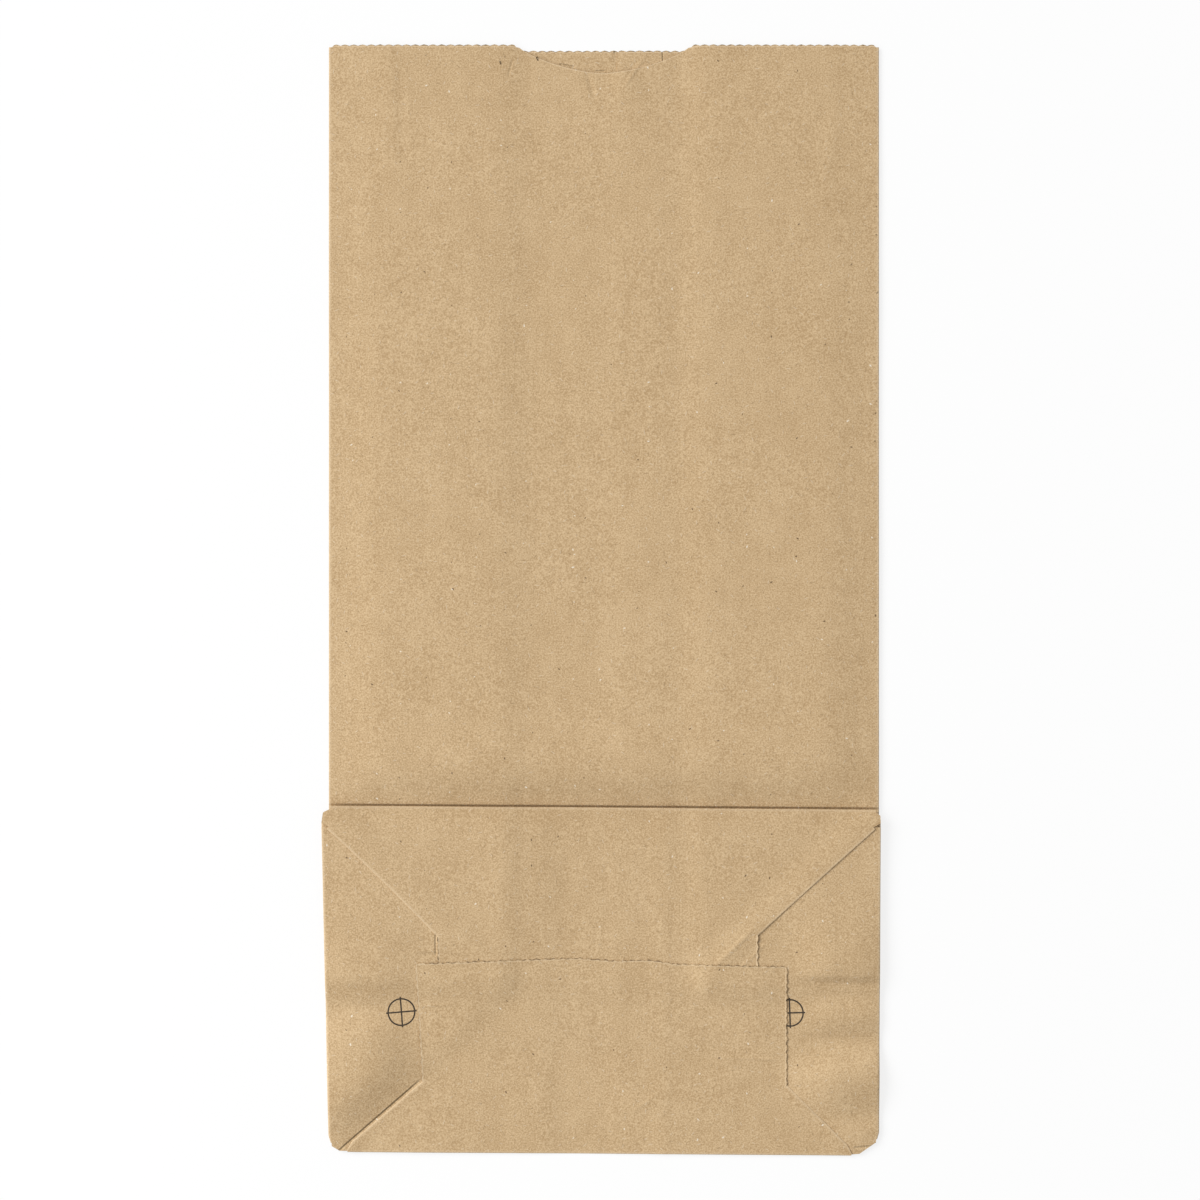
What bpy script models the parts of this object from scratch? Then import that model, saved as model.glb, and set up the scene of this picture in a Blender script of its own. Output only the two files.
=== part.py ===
"""Kraft paper lunch bag with a square bottom, folded flat.

Units are metres and +Z is up. The bag lies on its back with its mouth towards +Y, and its
bottom is turned up onto the front at the -Y end, outer side up. The origin is on the
ground under the middle of the bag.

The bag is one sheet: every ply is a stretch of the same paper, and each fold is a bend
between two plies. Plies are drawn flat in a plan whose corner is the bag's lower left
corner, are laid one on another in stacking order, and get their thickness at the end.
"""

import math

import bmesh
import bpy
from mathutils import Matrix, Vector
from mathutils.geometry import delaunay_2d_cdt

MM = 0.001

# Driving dimensions of the flat bag
BAG_WIDTH = 155.6 * MM
BAG_HEIGHT = 314.0 * MM
BOTTOM_DEPTH = 98.0 * MM
FLAP_LENGTH = 59.0 * MM
REAR_LIP_DROP = 1.6 * MM
NOTCH_WIDTH = 49.6 * MM
NOTCH_DEPTH = 7.4 * MM
NOTCH_POWER = 1.6
NOTCH_ROUNDING = 0.75
SEAM_WIDTH = 13.0 * MM
SEAM_OFFSET = 10.2 * MM

# The paper, the air between plies and the film of glue in the lap seam
PAPER = 0.10 * MM
AIR_GAP = 0.15 * MM
GLUE_FILM = 0.02 * MM

# How the folds lie
FOLD_REACH = 0.8 * MM
DRAPE_WIDTH = 7.0 * MM
SEAM_DRAPE = 3.0 * MM
BASE_SPRING = 1.0 * MM
SPRING_CURVE = 1.5
CREASE_FALL = 1.1 * MM
OVERHANG_SPAN = 30.0 * MM
OVERHANG_TURN = 2.5 * MM
BEVEL_REACH = 3

# The saw-toothed cut of the bag machine's knives
TOOTH_PITCH = 2.54 * MM
TOOTH_DEPTH = 0.35 * MM
CUT_MARGIN = 0.8 * MM

# Spacing of the plan's points
BASE_STEP = 16.0 * MM
BODY_STEP = 60.0 * MM
STEP_ALLOWANCE = 0.3
ROW_SHIFT = BASE_STEP / 4
LINE_CLEARANCE = BASE_STEP / 3
BEND_FACES = 3
BEND_SQUARENESS = 0.6
NOTCH_FACES = 14

PAPER_COLOUR = (0.584, 0.413, 0.235, 1.0)
PAPER_ROUGHNESS = 0.82

# Each side of the bottom was folded a little differently. upper: where the inner flap's
# diagonal starts below the top crease. lower: where the outer flap's diagonal starts in
# from the side. inner and outer: where each flap's diagonal ends at its slit, as distance
# from the side and height over the bottom crease. overhang: how far the turned-up bottom
# stands out. corner: height of the bottom corner's bevel.
SIDES = {
    "left": {
        "upper": 5.0 * MM,
        "lower": 3.1 * MM,
        "inner": (30.6 * MM, 61.4 * MM),
        "outer": (26.2 * MM, 20.0 * MM),
        "overhang": 2.2 * MM,
        "corner": 2.1 * MM,
    },
    "right": {
        "upper": 4.1 * MM,
        "lower": 5.8 * MM,
        "inner": (34.1 * MM, 62.4 * MM),
        "outer": (25.8 * MM, 19.6 * MM),
        "overhang": 0.4 * MM,
        "corner": 4.4 * MM,
    },
}

# Places in the stack: body plies up to the front, then the foot and the turned-up bottom
FRONT_ORDER = 3
FOOT_ORDER = 4
MIDDLE_PLIES = ("back_left", "back_right", "front", "foot", "inner_flap", "outer_flap")

# Sizes that follow from the ones above
GUSSET = BOTTOM_DEPTH / 2
PLY_PITCH = PAPER + AIR_GAP
SEAM_STEP = PAPER + GLUE_FILM
SEAM_START = BAG_WIDTH / 2 + SEAM_OFFSET - SEAM_WIDTH / 2
SEAM_END = SEAM_START + SEAM_WIDTH
DIAGONAL_REACH = FOLD_REACH * math.sqrt(2)
REAR_EDGE = BAG_HEIGHT - REAR_LIP_DROP - CUT_MARGIN
FRONT_EDGE = BAG_HEIGHT - CUT_MARGIN
MEAN_UPPER = (SIDES["left"]["upper"] + SIDES["right"]["upper"]) / 2
MEAN_LOWER = (SIDES["left"]["lower"] + SIDES["right"]["lower"]) / 2
INNER_FLAP_END = BOTTOM_DEPTH - MEAN_UPPER - FLAP_LENGTH + CUT_MARGIN
OUTER_FLAP_END = FLAP_LENGTH - MEAN_LOWER - CUT_MARGIN
OVERHANG_FADE = GUSSET / 2
GLUE_INSET = 2 * CUT_MARGIN
TOUCH = 1e-6
ON_LINE = 10 * TOUCH


def clamp(value):
    return min(1.0, max(0.0, value))


def smooth(value):
    value = clamp(value)
    return value * value * (3 - 2 * value)


def on_side(side, inset, height):
    """A plan point given by its distance from one side of the bag."""
    x = inset if side == "left" else BAG_WIDTH - inset
    return (x, height)


def offset_line(start, end, distance):
    """A line moved sideways to its left, as a point and a direction."""
    along = (Vector(end) - Vector(start)).normalized()
    return Vector(start) + Vector((-along.y, along.x)) * distance, along


def at_inset(line, inset):
    """The height at which a line stands this far in from the side."""
    point, along = line
    return point.y + (inset - point.x) * along.y / along.x


def at_height(line, height):
    """How far in from the side a line crosses a height."""
    point, along = line
    return point.x + (height - point.y) * along.x / along.y


def distance_outside(point, outline):
    """Distance from a plan point to an outline, nothing inside it."""
    x, y = point
    inside = False
    nearest = math.inf
    for (ax, ay), (bx, by) in zip(outline, outline[1:] + outline[:1]):
        if (ay > y) != (by > y) and x < ax + (y - ay) * (bx - ax) / (by - ay):
            inside = not inside
        dx, dy = bx - ax, by - ay
        part = clamp(((x - ax) * dx + (y - ay) * dy) / (dx * dx + dy * dy))
        nearest = min(nearest, math.hypot(x - ax - part * dx, y - ay - part * dy))
    return 0.0 if inside else nearest


class Ply:
    """One flat stretch of the sheet, with its place in the stack."""

    def __init__(self, outline, order, turned=False, flat=False):
        self.outline = outline
        self.order = order
        self.turned = turned
        self.flat = flat
        self.faces = []
        self.verts = {}


def flap_corner(side):
    """Where each flap's diagonal fold starts and ends on one side, inside its bend."""
    size = SIDES[side]
    top = BOTTOM_DEPTH - size["upper"] - FOLD_REACH
    upper = offset_line((0, BOTTOM_DEPTH - size["upper"]), size["inner"], FOLD_REACH)
    lower = offset_line((size["lower"], 0), size["outer"], -FOLD_REACH)
    inner_slit = size["inner"][0] + CUT_MARGIN
    outer_slit = size["outer"][0] + CUT_MARGIN
    return {
        "top": top,
        "shoulder": (FOLD_REACH, at_inset(upper, FOLD_REACH)),
        "inner_start": (at_height(upper, top), top),
        "inner_root": (inner_slit, at_inset(upper, inner_slit)),
        "outer_start": (at_height(lower, FOLD_REACH), FOLD_REACH),
        "outer_root": (outer_slit, at_inset(lower, outer_slit)),
    }


def notch_outline():
    """The thumb notch in the front lip, from left to right."""
    points = []
    for i in range(NOTCH_FACES + 1):
        u = -math.cos(math.pi * i / NOTCH_FACES)
        depth = NOTCH_DEPTH * max(0.0, 1 - abs(u) ** NOTCH_POWER) ** NOTCH_ROUNDING
        if depth > CUT_MARGIN:
            points.append((BAG_WIDTH / 2 + u * NOTCH_WIDTH / 2, BAG_HEIGHT - depth))
    first, last = points[0], points[-1]
    return [(first[0] - CUT_MARGIN, FRONT_EDGE)] + points + [(last[0] + CUT_MARGIN, FRONT_EDGE)]


def side_plies(side, corner):
    """The gusset's plies, its tucked triangles, the side flap and the two webs."""
    r, k, g, depth = FOLD_REACH, DIAGONAL_REACH, GUSSET, BOTTOM_DEPTH
    top, start, root = corner["top"], corner["inner_start"], corner["inner_root"]
    low_start, low_root = corner["outer_start"], corner["outer_root"]
    drawn = {
        "gusset_back": ([(r, r + k), (g - r, g - r + k), (g - r, REAR_EDGE), (r, REAR_EDGE)], 1),
        "gusset_front": ([(r, g + r), (g - r, g + r), (g - r, FRONT_EDGE), (r, FRONT_EDGE)], 2),
        "upper_tuck": ([(r, g + r), (g - r - k, g + r), (r, depth - r - k)], 5),
        "lower_tuck": ([(r, r + k), (g - k, g), (r, depth - r - k)], 6),
        "side_flap": ([(r, r), (FLAP_LENGTH, r), (FLAP_LENGTH, top), (r, top)], 7),
        "inner_web": ([start, root, (FLAP_LENGTH, root[1]), (FLAP_LENGTH, top)], 8),
        "outer_web": ([low_start, (FLAP_LENGTH, r), (FLAP_LENGTH, low_root[1]), low_root], 8),
    }
    plies = {}
    for name, (points, order) in drawn.items():
        outline = [on_side(side, *point) for point in points]
        turned, flat = order > FRONT_ORDER, order < FRONT_ORDER
        plies[f"{name}_{side}"] = Ply(outline, order, turned, flat)
    return plies


def across(left_points, right_points):
    """An outline that runs along the left side's points and back along the right side's."""
    ends = [on_side("left", *point) for point in left_points]
    return ends + [on_side("right", *point) for point in reversed(right_points)]


def draw_plies(corners):
    """Every ply of the bag, drawn in plan."""
    r, k, g, depth = FOLD_REACH, DIAGONAL_REACH, GUSSET, BOTTOM_DEPTH
    left, right = corners["left"], corners["right"]
    back_left = [
        (r, r + k),
        left["outer_start"],
        (SEAM_END, r),
        (SEAM_END, REAR_EDGE),
        (r, REAR_EDGE),
    ]
    back_right = [
        (SEAM_START, r),
        on_side("right", *right["outer_start"]),
        on_side("right", r, r + k),
        on_side("right", r, REAR_EDGE),
        (SEAM_START, REAR_EDGE),
    ]
    front = [(r, g + r), on_side("right", r, g + r), on_side("right", r, FRONT_EDGE)]
    front += list(reversed(notch_outline()))
    front.append((r, FRONT_EDGE))
    foot_side = [(2 * r, depth - r), (r, depth - r - k), (r, g + r)]
    inner = {}
    outer = {}
    for side, corner in corners.items():
        root, low_root = corner["inner_root"], corner["outer_root"]
        shoulder = [(2 * r, depth - r), (r, depth - 2 * r), corner["shoulder"]]
        inner[side] = shoulder + [corner["inner_start"], root, (root[0], INNER_FLAP_END)]
        outer[side] = [(low_root[0], OUTER_FLAP_END), low_root, corner["outer_start"]]
    plies = {
        "back_left": Ply(back_left, 0, flat=True),
        "back_right": Ply(back_right, 0),
        "front": Ply(front, FRONT_ORDER),
        "foot": Ply(across(foot_side, foot_side), FOOT_ORDER, turned=True),
        "inner_flap": Ply(across(inner["left"], inner["right"]), 9, turned=True),
        "outer_flap": Ply(across(outer["left"], outer["right"]), 10, turned=True),
    }
    for side in SIDES:
        plies.update(side_plies(side, corners[side]))
    return plies


def list_folds(corners):
    """Every fold as the two plies it joins, its ends in plan and how far it bulges."""
    r, k, g, depth = FOLD_REACH, DIAGONAL_REACH, GUSSET, BOTTOM_DEPTH
    nested = FOLD_REACH - PLY_PITCH
    left_start = on_side("left", *corners["left"]["outer_start"])
    right_start = on_side("right", *corners["right"]["outer_start"])
    folds = [
        ("front", "foot", (r, g + r), on_side("right", r, g + r), nested),
        ("foot", "inner_flap", (2 * r, depth - r), on_side("right", 2 * r, depth - r), r),
        ("back_left", "outer_flap", left_start, (SEAM_END, r), r),
        ("back_right", "outer_flap", (SEAM_END, r), right_start, r),
    ]
    for side, corner in corners.items():
        top = corner["top"]
        drawn = [
            ("gusset_back", (r, r + k), (r, REAR_EDGE), r, f"back_{side}"),
            ("gusset_front", (r, g + r), (r, FRONT_EDGE), r, "front"),
            ("upper_tuck", (r, g + r), (r, depth - r - k), r, "foot"),
            ("lower_tuck", (r, r + k), (r, top), r, "side_flap"),
            ("gusset_back", (g - r, g + r), (g - r, REAR_EDGE), r, "gusset_front"),
            ("gusset_front", (r, g + r), (g - r - k, g + r), r, "upper_tuck"),
            ("gusset_back", (r, r + k), (g - k, g), r, "lower_tuck"),
            ("upper_tuck", (r, depth - r - k), (g - r - k, g + r), r, "lower_tuck"),
            ("side_flap", corner["inner_start"], (FLAP_LENGTH, top), r, "inner_web"),
            ("side_flap", corner["outer_start"], (FLAP_LENGTH, r), nested, "outer_web"),
            ("inner_web", corner["inner_start"], corner["inner_root"], r, "inner_flap"),
            ("outer_web", corner["outer_start"], corner["outer_root"], r, "outer_flap"),
        ]
        for first, start, end, reach, second in drawn:
            second = second if second in MIDDLE_PLIES else f"{second}_{side}"
            ends = on_side(side, *start), on_side(side, *end)
            folds.append((f"{first}_{side}", second, *ends, reach))
    return folds


def divided(start, end):
    """Points along a line, closer together where the bottom's folds lie."""
    step = BASE_STEP if (start.y + end.y) / 2 < BOTTOM_DEPTH else BODY_STEP
    count = max(1, math.ceil((end - start).length / step - STEP_ALLOWANCE))
    return [start.lerp(end, i / count) for i in range(count + 1)]


def plan_network(plies):
    """One triangle network of the whole plan, which all plies share.

    Because every ply takes its faces from the same network, plies that keep their order
    at its points never cross between them.
    """
    lines = [ply.outline + ply.outline[:1] for ply in plies.values()]
    for inset in (GUSSET, GUSSET + DRAPE_WIDTH / 2, GUSSET + DRAPE_WIDTH):
        for side in SIDES:
            lines.append([on_side(side, inset, FOLD_REACH), on_side(side, inset, FRONT_EDGE)])
    for x in (SEAM_START - SEAM_DRAPE, SEAM_END + SEAM_DRAPE):
        lines.append([(x, FOLD_REACH), (x, REAR_EDGE)])
    for y in (GUSSET - DRAPE_WIDTH, GUSSET - DRAPE_WIDTH / 2):
        lines.append([on_side("left", FOLD_REACH, y), on_side("right", FOLD_REACH, y)])
    crossed = delaunay_2d_cdt(*as_network(lines), [], 0, TOUCH)
    ends, sources = crossed[0], crossed[4]

    lines = [divided(ends[a], ends[b]) for (a, b), drawn in zip(crossed[1], sources) if drawn]
    columns = round(BAG_WIDTH / BASE_STEP)
    rows = round(BOTTOM_DEPTH / BASE_STEP)
    spots = []
    for column in range(1, columns):
        for row in range(1, rows):
            shift = ROW_SHIFT if row % 2 else -ROW_SHIFT
            spot = Vector((column * BAG_WIDTH / columns + shift, row * BOTTOM_DEPTH / rows))
            if all(distance_to_line(spot, line[0], line[-1]) > LINE_CLEARANCE for line in lines):
                spots.append([spot])
    network = delaunay_2d_cdt(*as_network(lines + spots), [], 0, TOUCH)
    return network[0], network[2]


def as_network(lines):
    """Lines as one list of points and one of edges between them."""
    points = []
    edges = []
    for line in lines:
        first = len(points)
        points.extend(Vector(p) for p in line)
        edges.extend((first + i, first + i + 1) for i in range(len(line) - 1))
    return points, edges


def distance_to_line(point, start, end):
    along = end - start
    part = clamp((point - start).dot(along) / max(along.length_squared, TOUCH**2))
    return (point - start - along * part).length


def lift_of(ply, point, plies):
    """Height of a ply's middle at a plan point, over every ply under it."""
    seam = [(SEAM_START, 0), (SEAM_END, 0), (SEAM_END, BAG_HEIGHT), (SEAM_START, BAG_HEIGHT)]
    rise = PAPER / 2
    if ply is not plies["back_left"]:
        rise += SEAM_STEP * (1 - clamp(distance_outside(point, seam) / SEAM_DRAPE))
    if ply.order > 0:
        rise += PLY_PITCH
    for other in plies.values():
        if 0 < other.order < ply.order:
            gap = distance_outside(point, other.outline) - FOLD_REACH
            rise += PLY_PITCH * (1 - smooth(gap / DRAPE_WIDTH))
    if ply.turned:
        part = clamp((point[1] - GUSSET) / (BOTTOM_DEPTH - GUSSET))
        rise += BASE_SPRING * part**SPRING_CURVE
    return rise


def place(point, turned):
    """Where a plan point really lies, with the bag's small skews."""
    x, y = point
    fade = clamp((BAG_HEIGHT - y) / (BAG_HEIGHT - BOTTOM_DEPTH))
    moved_y = y - CREASE_FALL * (x / BAG_WIDTH - 0.5) * fade
    moved_x = x
    for side, size in SIDES.items():
        inset = x if side == "left" else BAG_WIDTH - x
        outward = -1 if side == "left" else 1
        near = clamp(1 - inset / size["lower"])
        moved_y += size["corner"] * near * clamp(1 - y / (BEVEL_REACH * size["corner"]))
        turn = clamp((BOTTOM_DEPTH - y) / OVERHANG_TURN)
        reach = size["overhang"] * clamp(y / BOTTOM_DEPTH) * turn
        if not turned:
            reach *= 1 - smooth((y - GUSSET) / OVERHANG_FADE)
        moved_x += outward * reach * clamp(1 - inset / OVERHANG_SPAN) ** 2
    return Vector((moved_x - BAG_WIDTH / 2, moved_y - BAG_HEIGHT / 2))


def in_space(ply, point, plies):
    """A plan point of a ply in space."""
    spot = place(point, ply.turned)
    return Vector((spot.x, spot.y, lift_of(ply, point, plies)))


def fewer_faces(faces, points):
    """The faces of a ply that is level all over, with no points inside its outline."""
    sides = {}
    for face in faces:
        for a, b in zip(face, face[1:] + face[:1]):
            sides[frozenset((a, b))] = sides.get(frozenset((a, b)), 0) + 1
    rim = [tuple(side) for side, uses in sides.items() if uses == 1]
    used = sorted({index for side in rim for index in side})
    where = {index: i for i, index in enumerate(used)}
    flat = [points[index] for index in used]
    cut = delaunay_2d_cdt(flat, [(where[a], where[b]) for a, b in rim], [], 1, TOUCH)
    origin = [used[ids[0]] for ids in cut[3]]
    return [[origin[i] for i in face] for face in cut[2]]


def lay_plies(sheet, plies, points, faces):
    """Give each ply its faces of the network, lifted to its height."""
    centres = [sum((points[i] for i in face), Vector((0, 0))) / 3 for face in faces]
    for ply in plies.values():
        chosen = [f for f, c in zip(faces, centres) if distance_outside(c, ply.outline) < TOUCH]
        ply.faces = chosen
        drawn = fewer_faces(chosen, points) if ply.flat else chosen
        for index in sorted({i for face in chosen for i in face}):
            ply.verts[index] = None
        for face in drawn:
            for index in face:
                if ply.verts[index] is None:
                    ply.verts[index] = sheet.verts.new(in_space(ply, points[index], plies))
            sheet.faces.new([ply.verts[index] for index in face])


def stations(points, ply, start, end):
    """The network points of a ply along a line, in order."""
    start, end = Vector(start), Vector(end)
    along = (end - start).normalized()
    found = []
    for index, vert in ply.verts.items():
        travelled = (points[index] - start).dot(along)
        if vert and distance_to_line(points[index], start, end) < ON_LINE:
            found.append((travelled, index))
    return [index for _, index in sorted(found)]


def bend(sheet, points, first, second, start, end, reach):
    """Join two plies by a half-round bend that bulges away from both."""
    row = stations(points, first, start, end)
    along = (Vector(end) - Vector(start)).normalized()
    outward = Vector((-along.y, along.x))
    middle = (Vector(start) + Vector(end)) / 2
    probe = middle + outward * FOLD_REACH / 2
    if not distance_outside(probe, first.outline):
        outward = -outward
    previous = None
    for index in row:
        low, high = first.verts[index], second.verts[index]
        arc = [low]
        for i in range(1, BEND_FACES):
            angle = math.pi * i / BEND_FACES
            level = math.copysign(abs(math.cos(angle)) ** BEND_SQUARENESS, math.cos(angle))
            share = (1 - level) / 2
            bulge = outward * reach * math.sin(angle) ** BEND_SQUARENESS
            spot = low.co.lerp(high.co, share) + Vector((bulge.x, bulge.y, 0))
            arc.append(sheet.verts.new(spot))
        arc.append(high)
        if previous:
            for i in range(BEND_FACES):
                sheet.faces.new((previous[i], previous[i + 1], arc[i + 1], arc[i]))
        previous = arc


def toothed_path(path):
    """The saw-toothed line beside a path, with each point's place along the path."""
    teeth = []
    travelled = 0.0
    legs = [(Vector(a), Vector(b)) for a, b in zip(path, path[1:])]
    root = CUT_MARGIN - TOOTH_DEPTH
    for number, (start, end) in enumerate(legs):
        along = (end - start).normalized()
        outward = Vector((along.y, -along.x))
        count = max(1, round((end - start).length / TOOTH_PITCH))
        corner = Vector((0, 0))
        if number:
            before = (legs[number - 1][1] - legs[number - 1][0]).normalized()
            corner = Vector((before.y, -before.x)) * root
        for i in range(0 if number else 1, 2 * count):
            part = i / (2 * count)
            height = CUT_MARGIN if i % 2 else root
            extra = Vector((0, 0)) if i else corner
            tip = start.lerp(end, part) + outward * height + extra
            teeth.append((travelled + part * (end - start).length, tip))
        travelled += (end - start).length
    return teeth


def knife_cut(sheet, plies, points, name, path):
    """Add a ply's saw-toothed edge outside a path, which keeps the ply on its left."""
    ply = plies[name]
    base = []
    leg_start = 0.0
    for start, end in zip(path, path[1:]):
        for index in stations(points, ply, start, end):
            travelled = leg_start + (points[index] - Vector(start)).length
            if not base or index != base[-1][1]:
                base.append((travelled, index))
        leg_start += (Vector(end) - Vector(start)).length
    teeth = toothed_path(path)
    rim = [points[index] for _, index in base]
    verts = [ply.verts[index] for _, index in base]
    for travelled, tip in teeth:
        after = next((i for i, b in enumerate(base) if b[0] > travelled), len(base) - 1)
        after = max(1, after)
        (low_at, low), (high_at, high) = base[after - 1], base[after]
        part = (travelled - low_at) / (high_at - low_at)
        spot = place(tip, ply.turned)
        height = ply.verts[low].co.z * (1 - part) + ply.verts[high].co.z * part
        verts.append(sheet.verts.new((spot.x, spot.y, height)))
    outline = rim + [tip for _, tip in reversed(teeth)]
    verts = verts[: len(rim)] + verts[len(rim) :][::-1]
    loop = [(i, (i + 1) % len(outline)) for i in range(len(outline))]
    cut = delaunay_2d_cdt(outline, loop, [], 1, TOUCH)
    for face in cut[2]:
        sheet.faces.new([verts[cut[3][i][0]] for i in face])


def cut_edges(sheet, plies, points, corners):
    """The cuts that the machine's knives left: the mouth, the flaps' ends and slits."""
    left, right = corners["left"], corners["right"]
    r = FOLD_REACH
    notch = notch_outline()
    mouth = [
        ("front", [on_side("right", r, FRONT_EDGE), notch[-1]]),
        ("front", [notch[0], (r, FRONT_EDGE)]),
        ("back_left", [(SEAM_END, REAR_EDGE), (r, REAR_EDGE)]),
        ("back_right", [on_side("right", r, REAR_EDGE), (SEAM_START, REAR_EDGE)]),
    ]
    for name, edge in (("gusset_back", REAR_EDGE), ("gusset_front", FRONT_EDGE)):
        mouth.append((f"{name}_left", [(GUSSET - r, edge), (r, edge)]))
        ends = on_side("right", r, edge), on_side("right", GUSSET - r, edge)
        mouth.append((f"{name}_right", list(ends)))
    inner = [
        on_side("left", *left["inner_root"]),
        on_side("left", left["inner_root"][0], INNER_FLAP_END),
        on_side("right", right["inner_root"][0], INNER_FLAP_END),
        on_side("right", *right["inner_root"]),
    ]
    outer = [
        on_side("right", *right["outer_root"]),
        on_side("right", right["outer_root"][0], OUTER_FLAP_END),
        on_side("left", left["outer_root"][0], OUTER_FLAP_END),
        on_side("left", *left["outer_root"]),
    ]
    for name, path in mouth + [("inner_flap", inner), ("outer_flap", outer)]:
        knife_cut(sheet, plies, points, name, path)


def glue_spot(name, lower, upper, plies, points):
    """A thin body of glue between two plies, from the middle of one to the other."""
    shared = [face for face in upper.faces if face in lower.faces]
    between = [p for p in plies.values() if lower.order < p.order < upper.order]
    chosen = []
    for face in shared:
        corners = [points[index] for index in face]
        clear = all(
            distance_outside(spot, ply.outline) > GLUE_INSET for spot in corners for ply in between
        )
        inside = all(
            depth_inside(spot, ply.outline) > GLUE_INSET for spot in corners for ply in (lower, upper)
        )
        if clear and inside:
            chosen.append(face)
    body = bmesh.new()
    low = {}
    high = {}
    for index in sorted({i for face in chosen for i in face}):
        low[index] = body.verts.new(in_space(lower, points[index], plies))
        high[index] = body.verts.new(in_space(upper, points[index], plies))
    sides = {}
    for face in chosen:
        body.faces.new([high[index] for index in face])
        body.faces.new([low[index] for index in reversed(face)])
        for a, b in zip(face, face[1:] + face[:1]):
            sides[(a, b)] = (b, a)
    for (a, b), back in sides.items():
        if back not in sides:
            body.faces.new((low[a], low[b], high[b], high[a]))
    return finish_body(name, body)


def depth_inside(point, outline):
    """How far inside an outline a plan point lies, nothing outside it."""
    if distance_outside(point, outline):
        return 0.0
    pairs = zip(outline, outline[1:] + outline[:1])
    return min(distance_to_line(Vector(point), Vector(a), Vector(b)) for a, b in pairs)


def finish_body(name, body):
    """Turn a bmesh into an object in the scene, with its faces pointing out."""
    bmesh.ops.recalc_face_normals(body, faces=body.faces)
    mesh = bpy.data.meshes.new(name)
    body.to_mesh(mesh)
    body.free()
    made = bpy.data.objects.new(name, mesh)
    bpy.context.scene.collection.objects.link(made)
    return made


def seam_glue():
    """The glue along the lap seam of the back, inside the two overlapping edges."""
    body = bmesh.new()
    bmesh.ops.create_cube(body, size=1.0)
    low, high = 2 * GLUE_INSET, REAR_EDGE - GLUE_INSET
    for vert in body.verts:
        x = SEAM_START + GLUE_INSET if vert.co.x < 0 else SEAM_END - GLUE_INSET
        spot = place((x, low if vert.co.y < 0 else high), False)
        vert.co = (spot.x, spot.y, PAPER / 2 + (SEAM_STEP if vert.co.z > 0 else 0.0))
    return finish_body("seam_glue", body)


def kraft_paper():
    material = bpy.data.materials.new("kraft_paper")
    material.use_nodes = True
    shader = material.node_tree.nodes["Principled BSDF"]
    shader.inputs["Base Color"].default_value = PAPER_COLOUR
    shader.inputs["Roughness"].default_value = PAPER_ROUGHNESS
    shader.inputs["Metallic"].default_value = 0.0
    return material


def centre_bag(bag, glue):
    """Move the bag and its glue so that the origin is under the middle of the bag."""
    for axis in (0, 1):
        places = [vert.co[axis] for vert in bag.data.vertices]
        move = Vector((0, 0, 0))
        move[axis] = -(min(places) + max(places)) / 2
        for made in [bag] + glue:
            made.data.transform(Matrix.Translation(move))


def build_bag():
    corners = {side: flap_corner(side) for side in SIDES}
    plies = draw_plies(corners)
    points, faces = plan_network(plies)
    sheet = bmesh.new()
    lay_plies(sheet, plies, points, faces)
    for first, second, start, end, reach in list_folds(corners):
        bend(sheet, points, plies[first], plies[second], start, end, reach)
    cut_edges(sheet, plies, points, corners)
    bag = finish_body("paper_bag", sheet)
    bag.data.materials.append(kraft_paper())

    thickness = bag.modifiers.new("paper_thickness", "SOLIDIFY")
    thickness.thickness = PAPER
    thickness.offset = 0.0
    thickness.use_even_offset = True

    glue = [
        seam_glue(),
        glue_spot("flap_glue", plies["inner_flap"], plies["outer_flap"], plies, points),
    ]
    for side in SIDES:
        flap = plies[f"side_flap_{side}"]
        glue.append(glue_spot(f"side_glue_{side}", flap, plies["inner_flap"], plies, points))
    centre_bag(bag, glue)
    for spot in glue:
        spot.hide_render = True
        spot.display_type = "WIRE"
        bond = bag.modifiers.new(spot.name, "BOOLEAN")
        bond.operation = "UNION"
        bond.solver = "EXACT"
        bond.object = spot
    return bag


for leftover in list(bpy.data.objects):
    bpy.data.objects.remove(leftover)
build_bag()
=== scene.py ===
# %% [markdown]
# # A paper lunch bag, folded flat
#
# The real object is one sheet of brown kraft paper, glued into a tube, pleated at both sides and closed
# by a square bottom that lies folded up onto the front. The CAD model has all of its plies and folds at
# their real sizes, but few faces. We load it as a fixed frame and rebuild the same sheet with a much
# finer surface, so that it can take soft waves, wrinkles and a good paper finish.

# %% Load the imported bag
import math
import random

import bmesh
import bpy
import numpy as np
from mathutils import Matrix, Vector, noise
from mathutils.geometry import delaunay_2d_cdt


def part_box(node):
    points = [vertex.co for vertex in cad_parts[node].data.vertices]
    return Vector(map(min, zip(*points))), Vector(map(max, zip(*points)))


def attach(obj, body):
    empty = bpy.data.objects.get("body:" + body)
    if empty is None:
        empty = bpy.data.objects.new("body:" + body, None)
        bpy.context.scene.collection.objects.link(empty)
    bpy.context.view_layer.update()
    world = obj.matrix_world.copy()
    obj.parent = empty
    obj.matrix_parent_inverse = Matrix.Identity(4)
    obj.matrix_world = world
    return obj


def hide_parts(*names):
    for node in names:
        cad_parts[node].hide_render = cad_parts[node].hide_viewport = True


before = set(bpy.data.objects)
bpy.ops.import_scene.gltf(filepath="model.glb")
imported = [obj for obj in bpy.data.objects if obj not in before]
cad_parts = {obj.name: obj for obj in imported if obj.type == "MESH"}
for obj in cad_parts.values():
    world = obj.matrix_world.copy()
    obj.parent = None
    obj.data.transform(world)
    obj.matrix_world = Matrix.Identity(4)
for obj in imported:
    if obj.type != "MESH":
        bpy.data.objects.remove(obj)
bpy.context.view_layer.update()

cad_low, cad_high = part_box("paper_bag")
print("CAD bag, mm:", [round(1000 * size, 2) for size in cad_high - cad_low])

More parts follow.
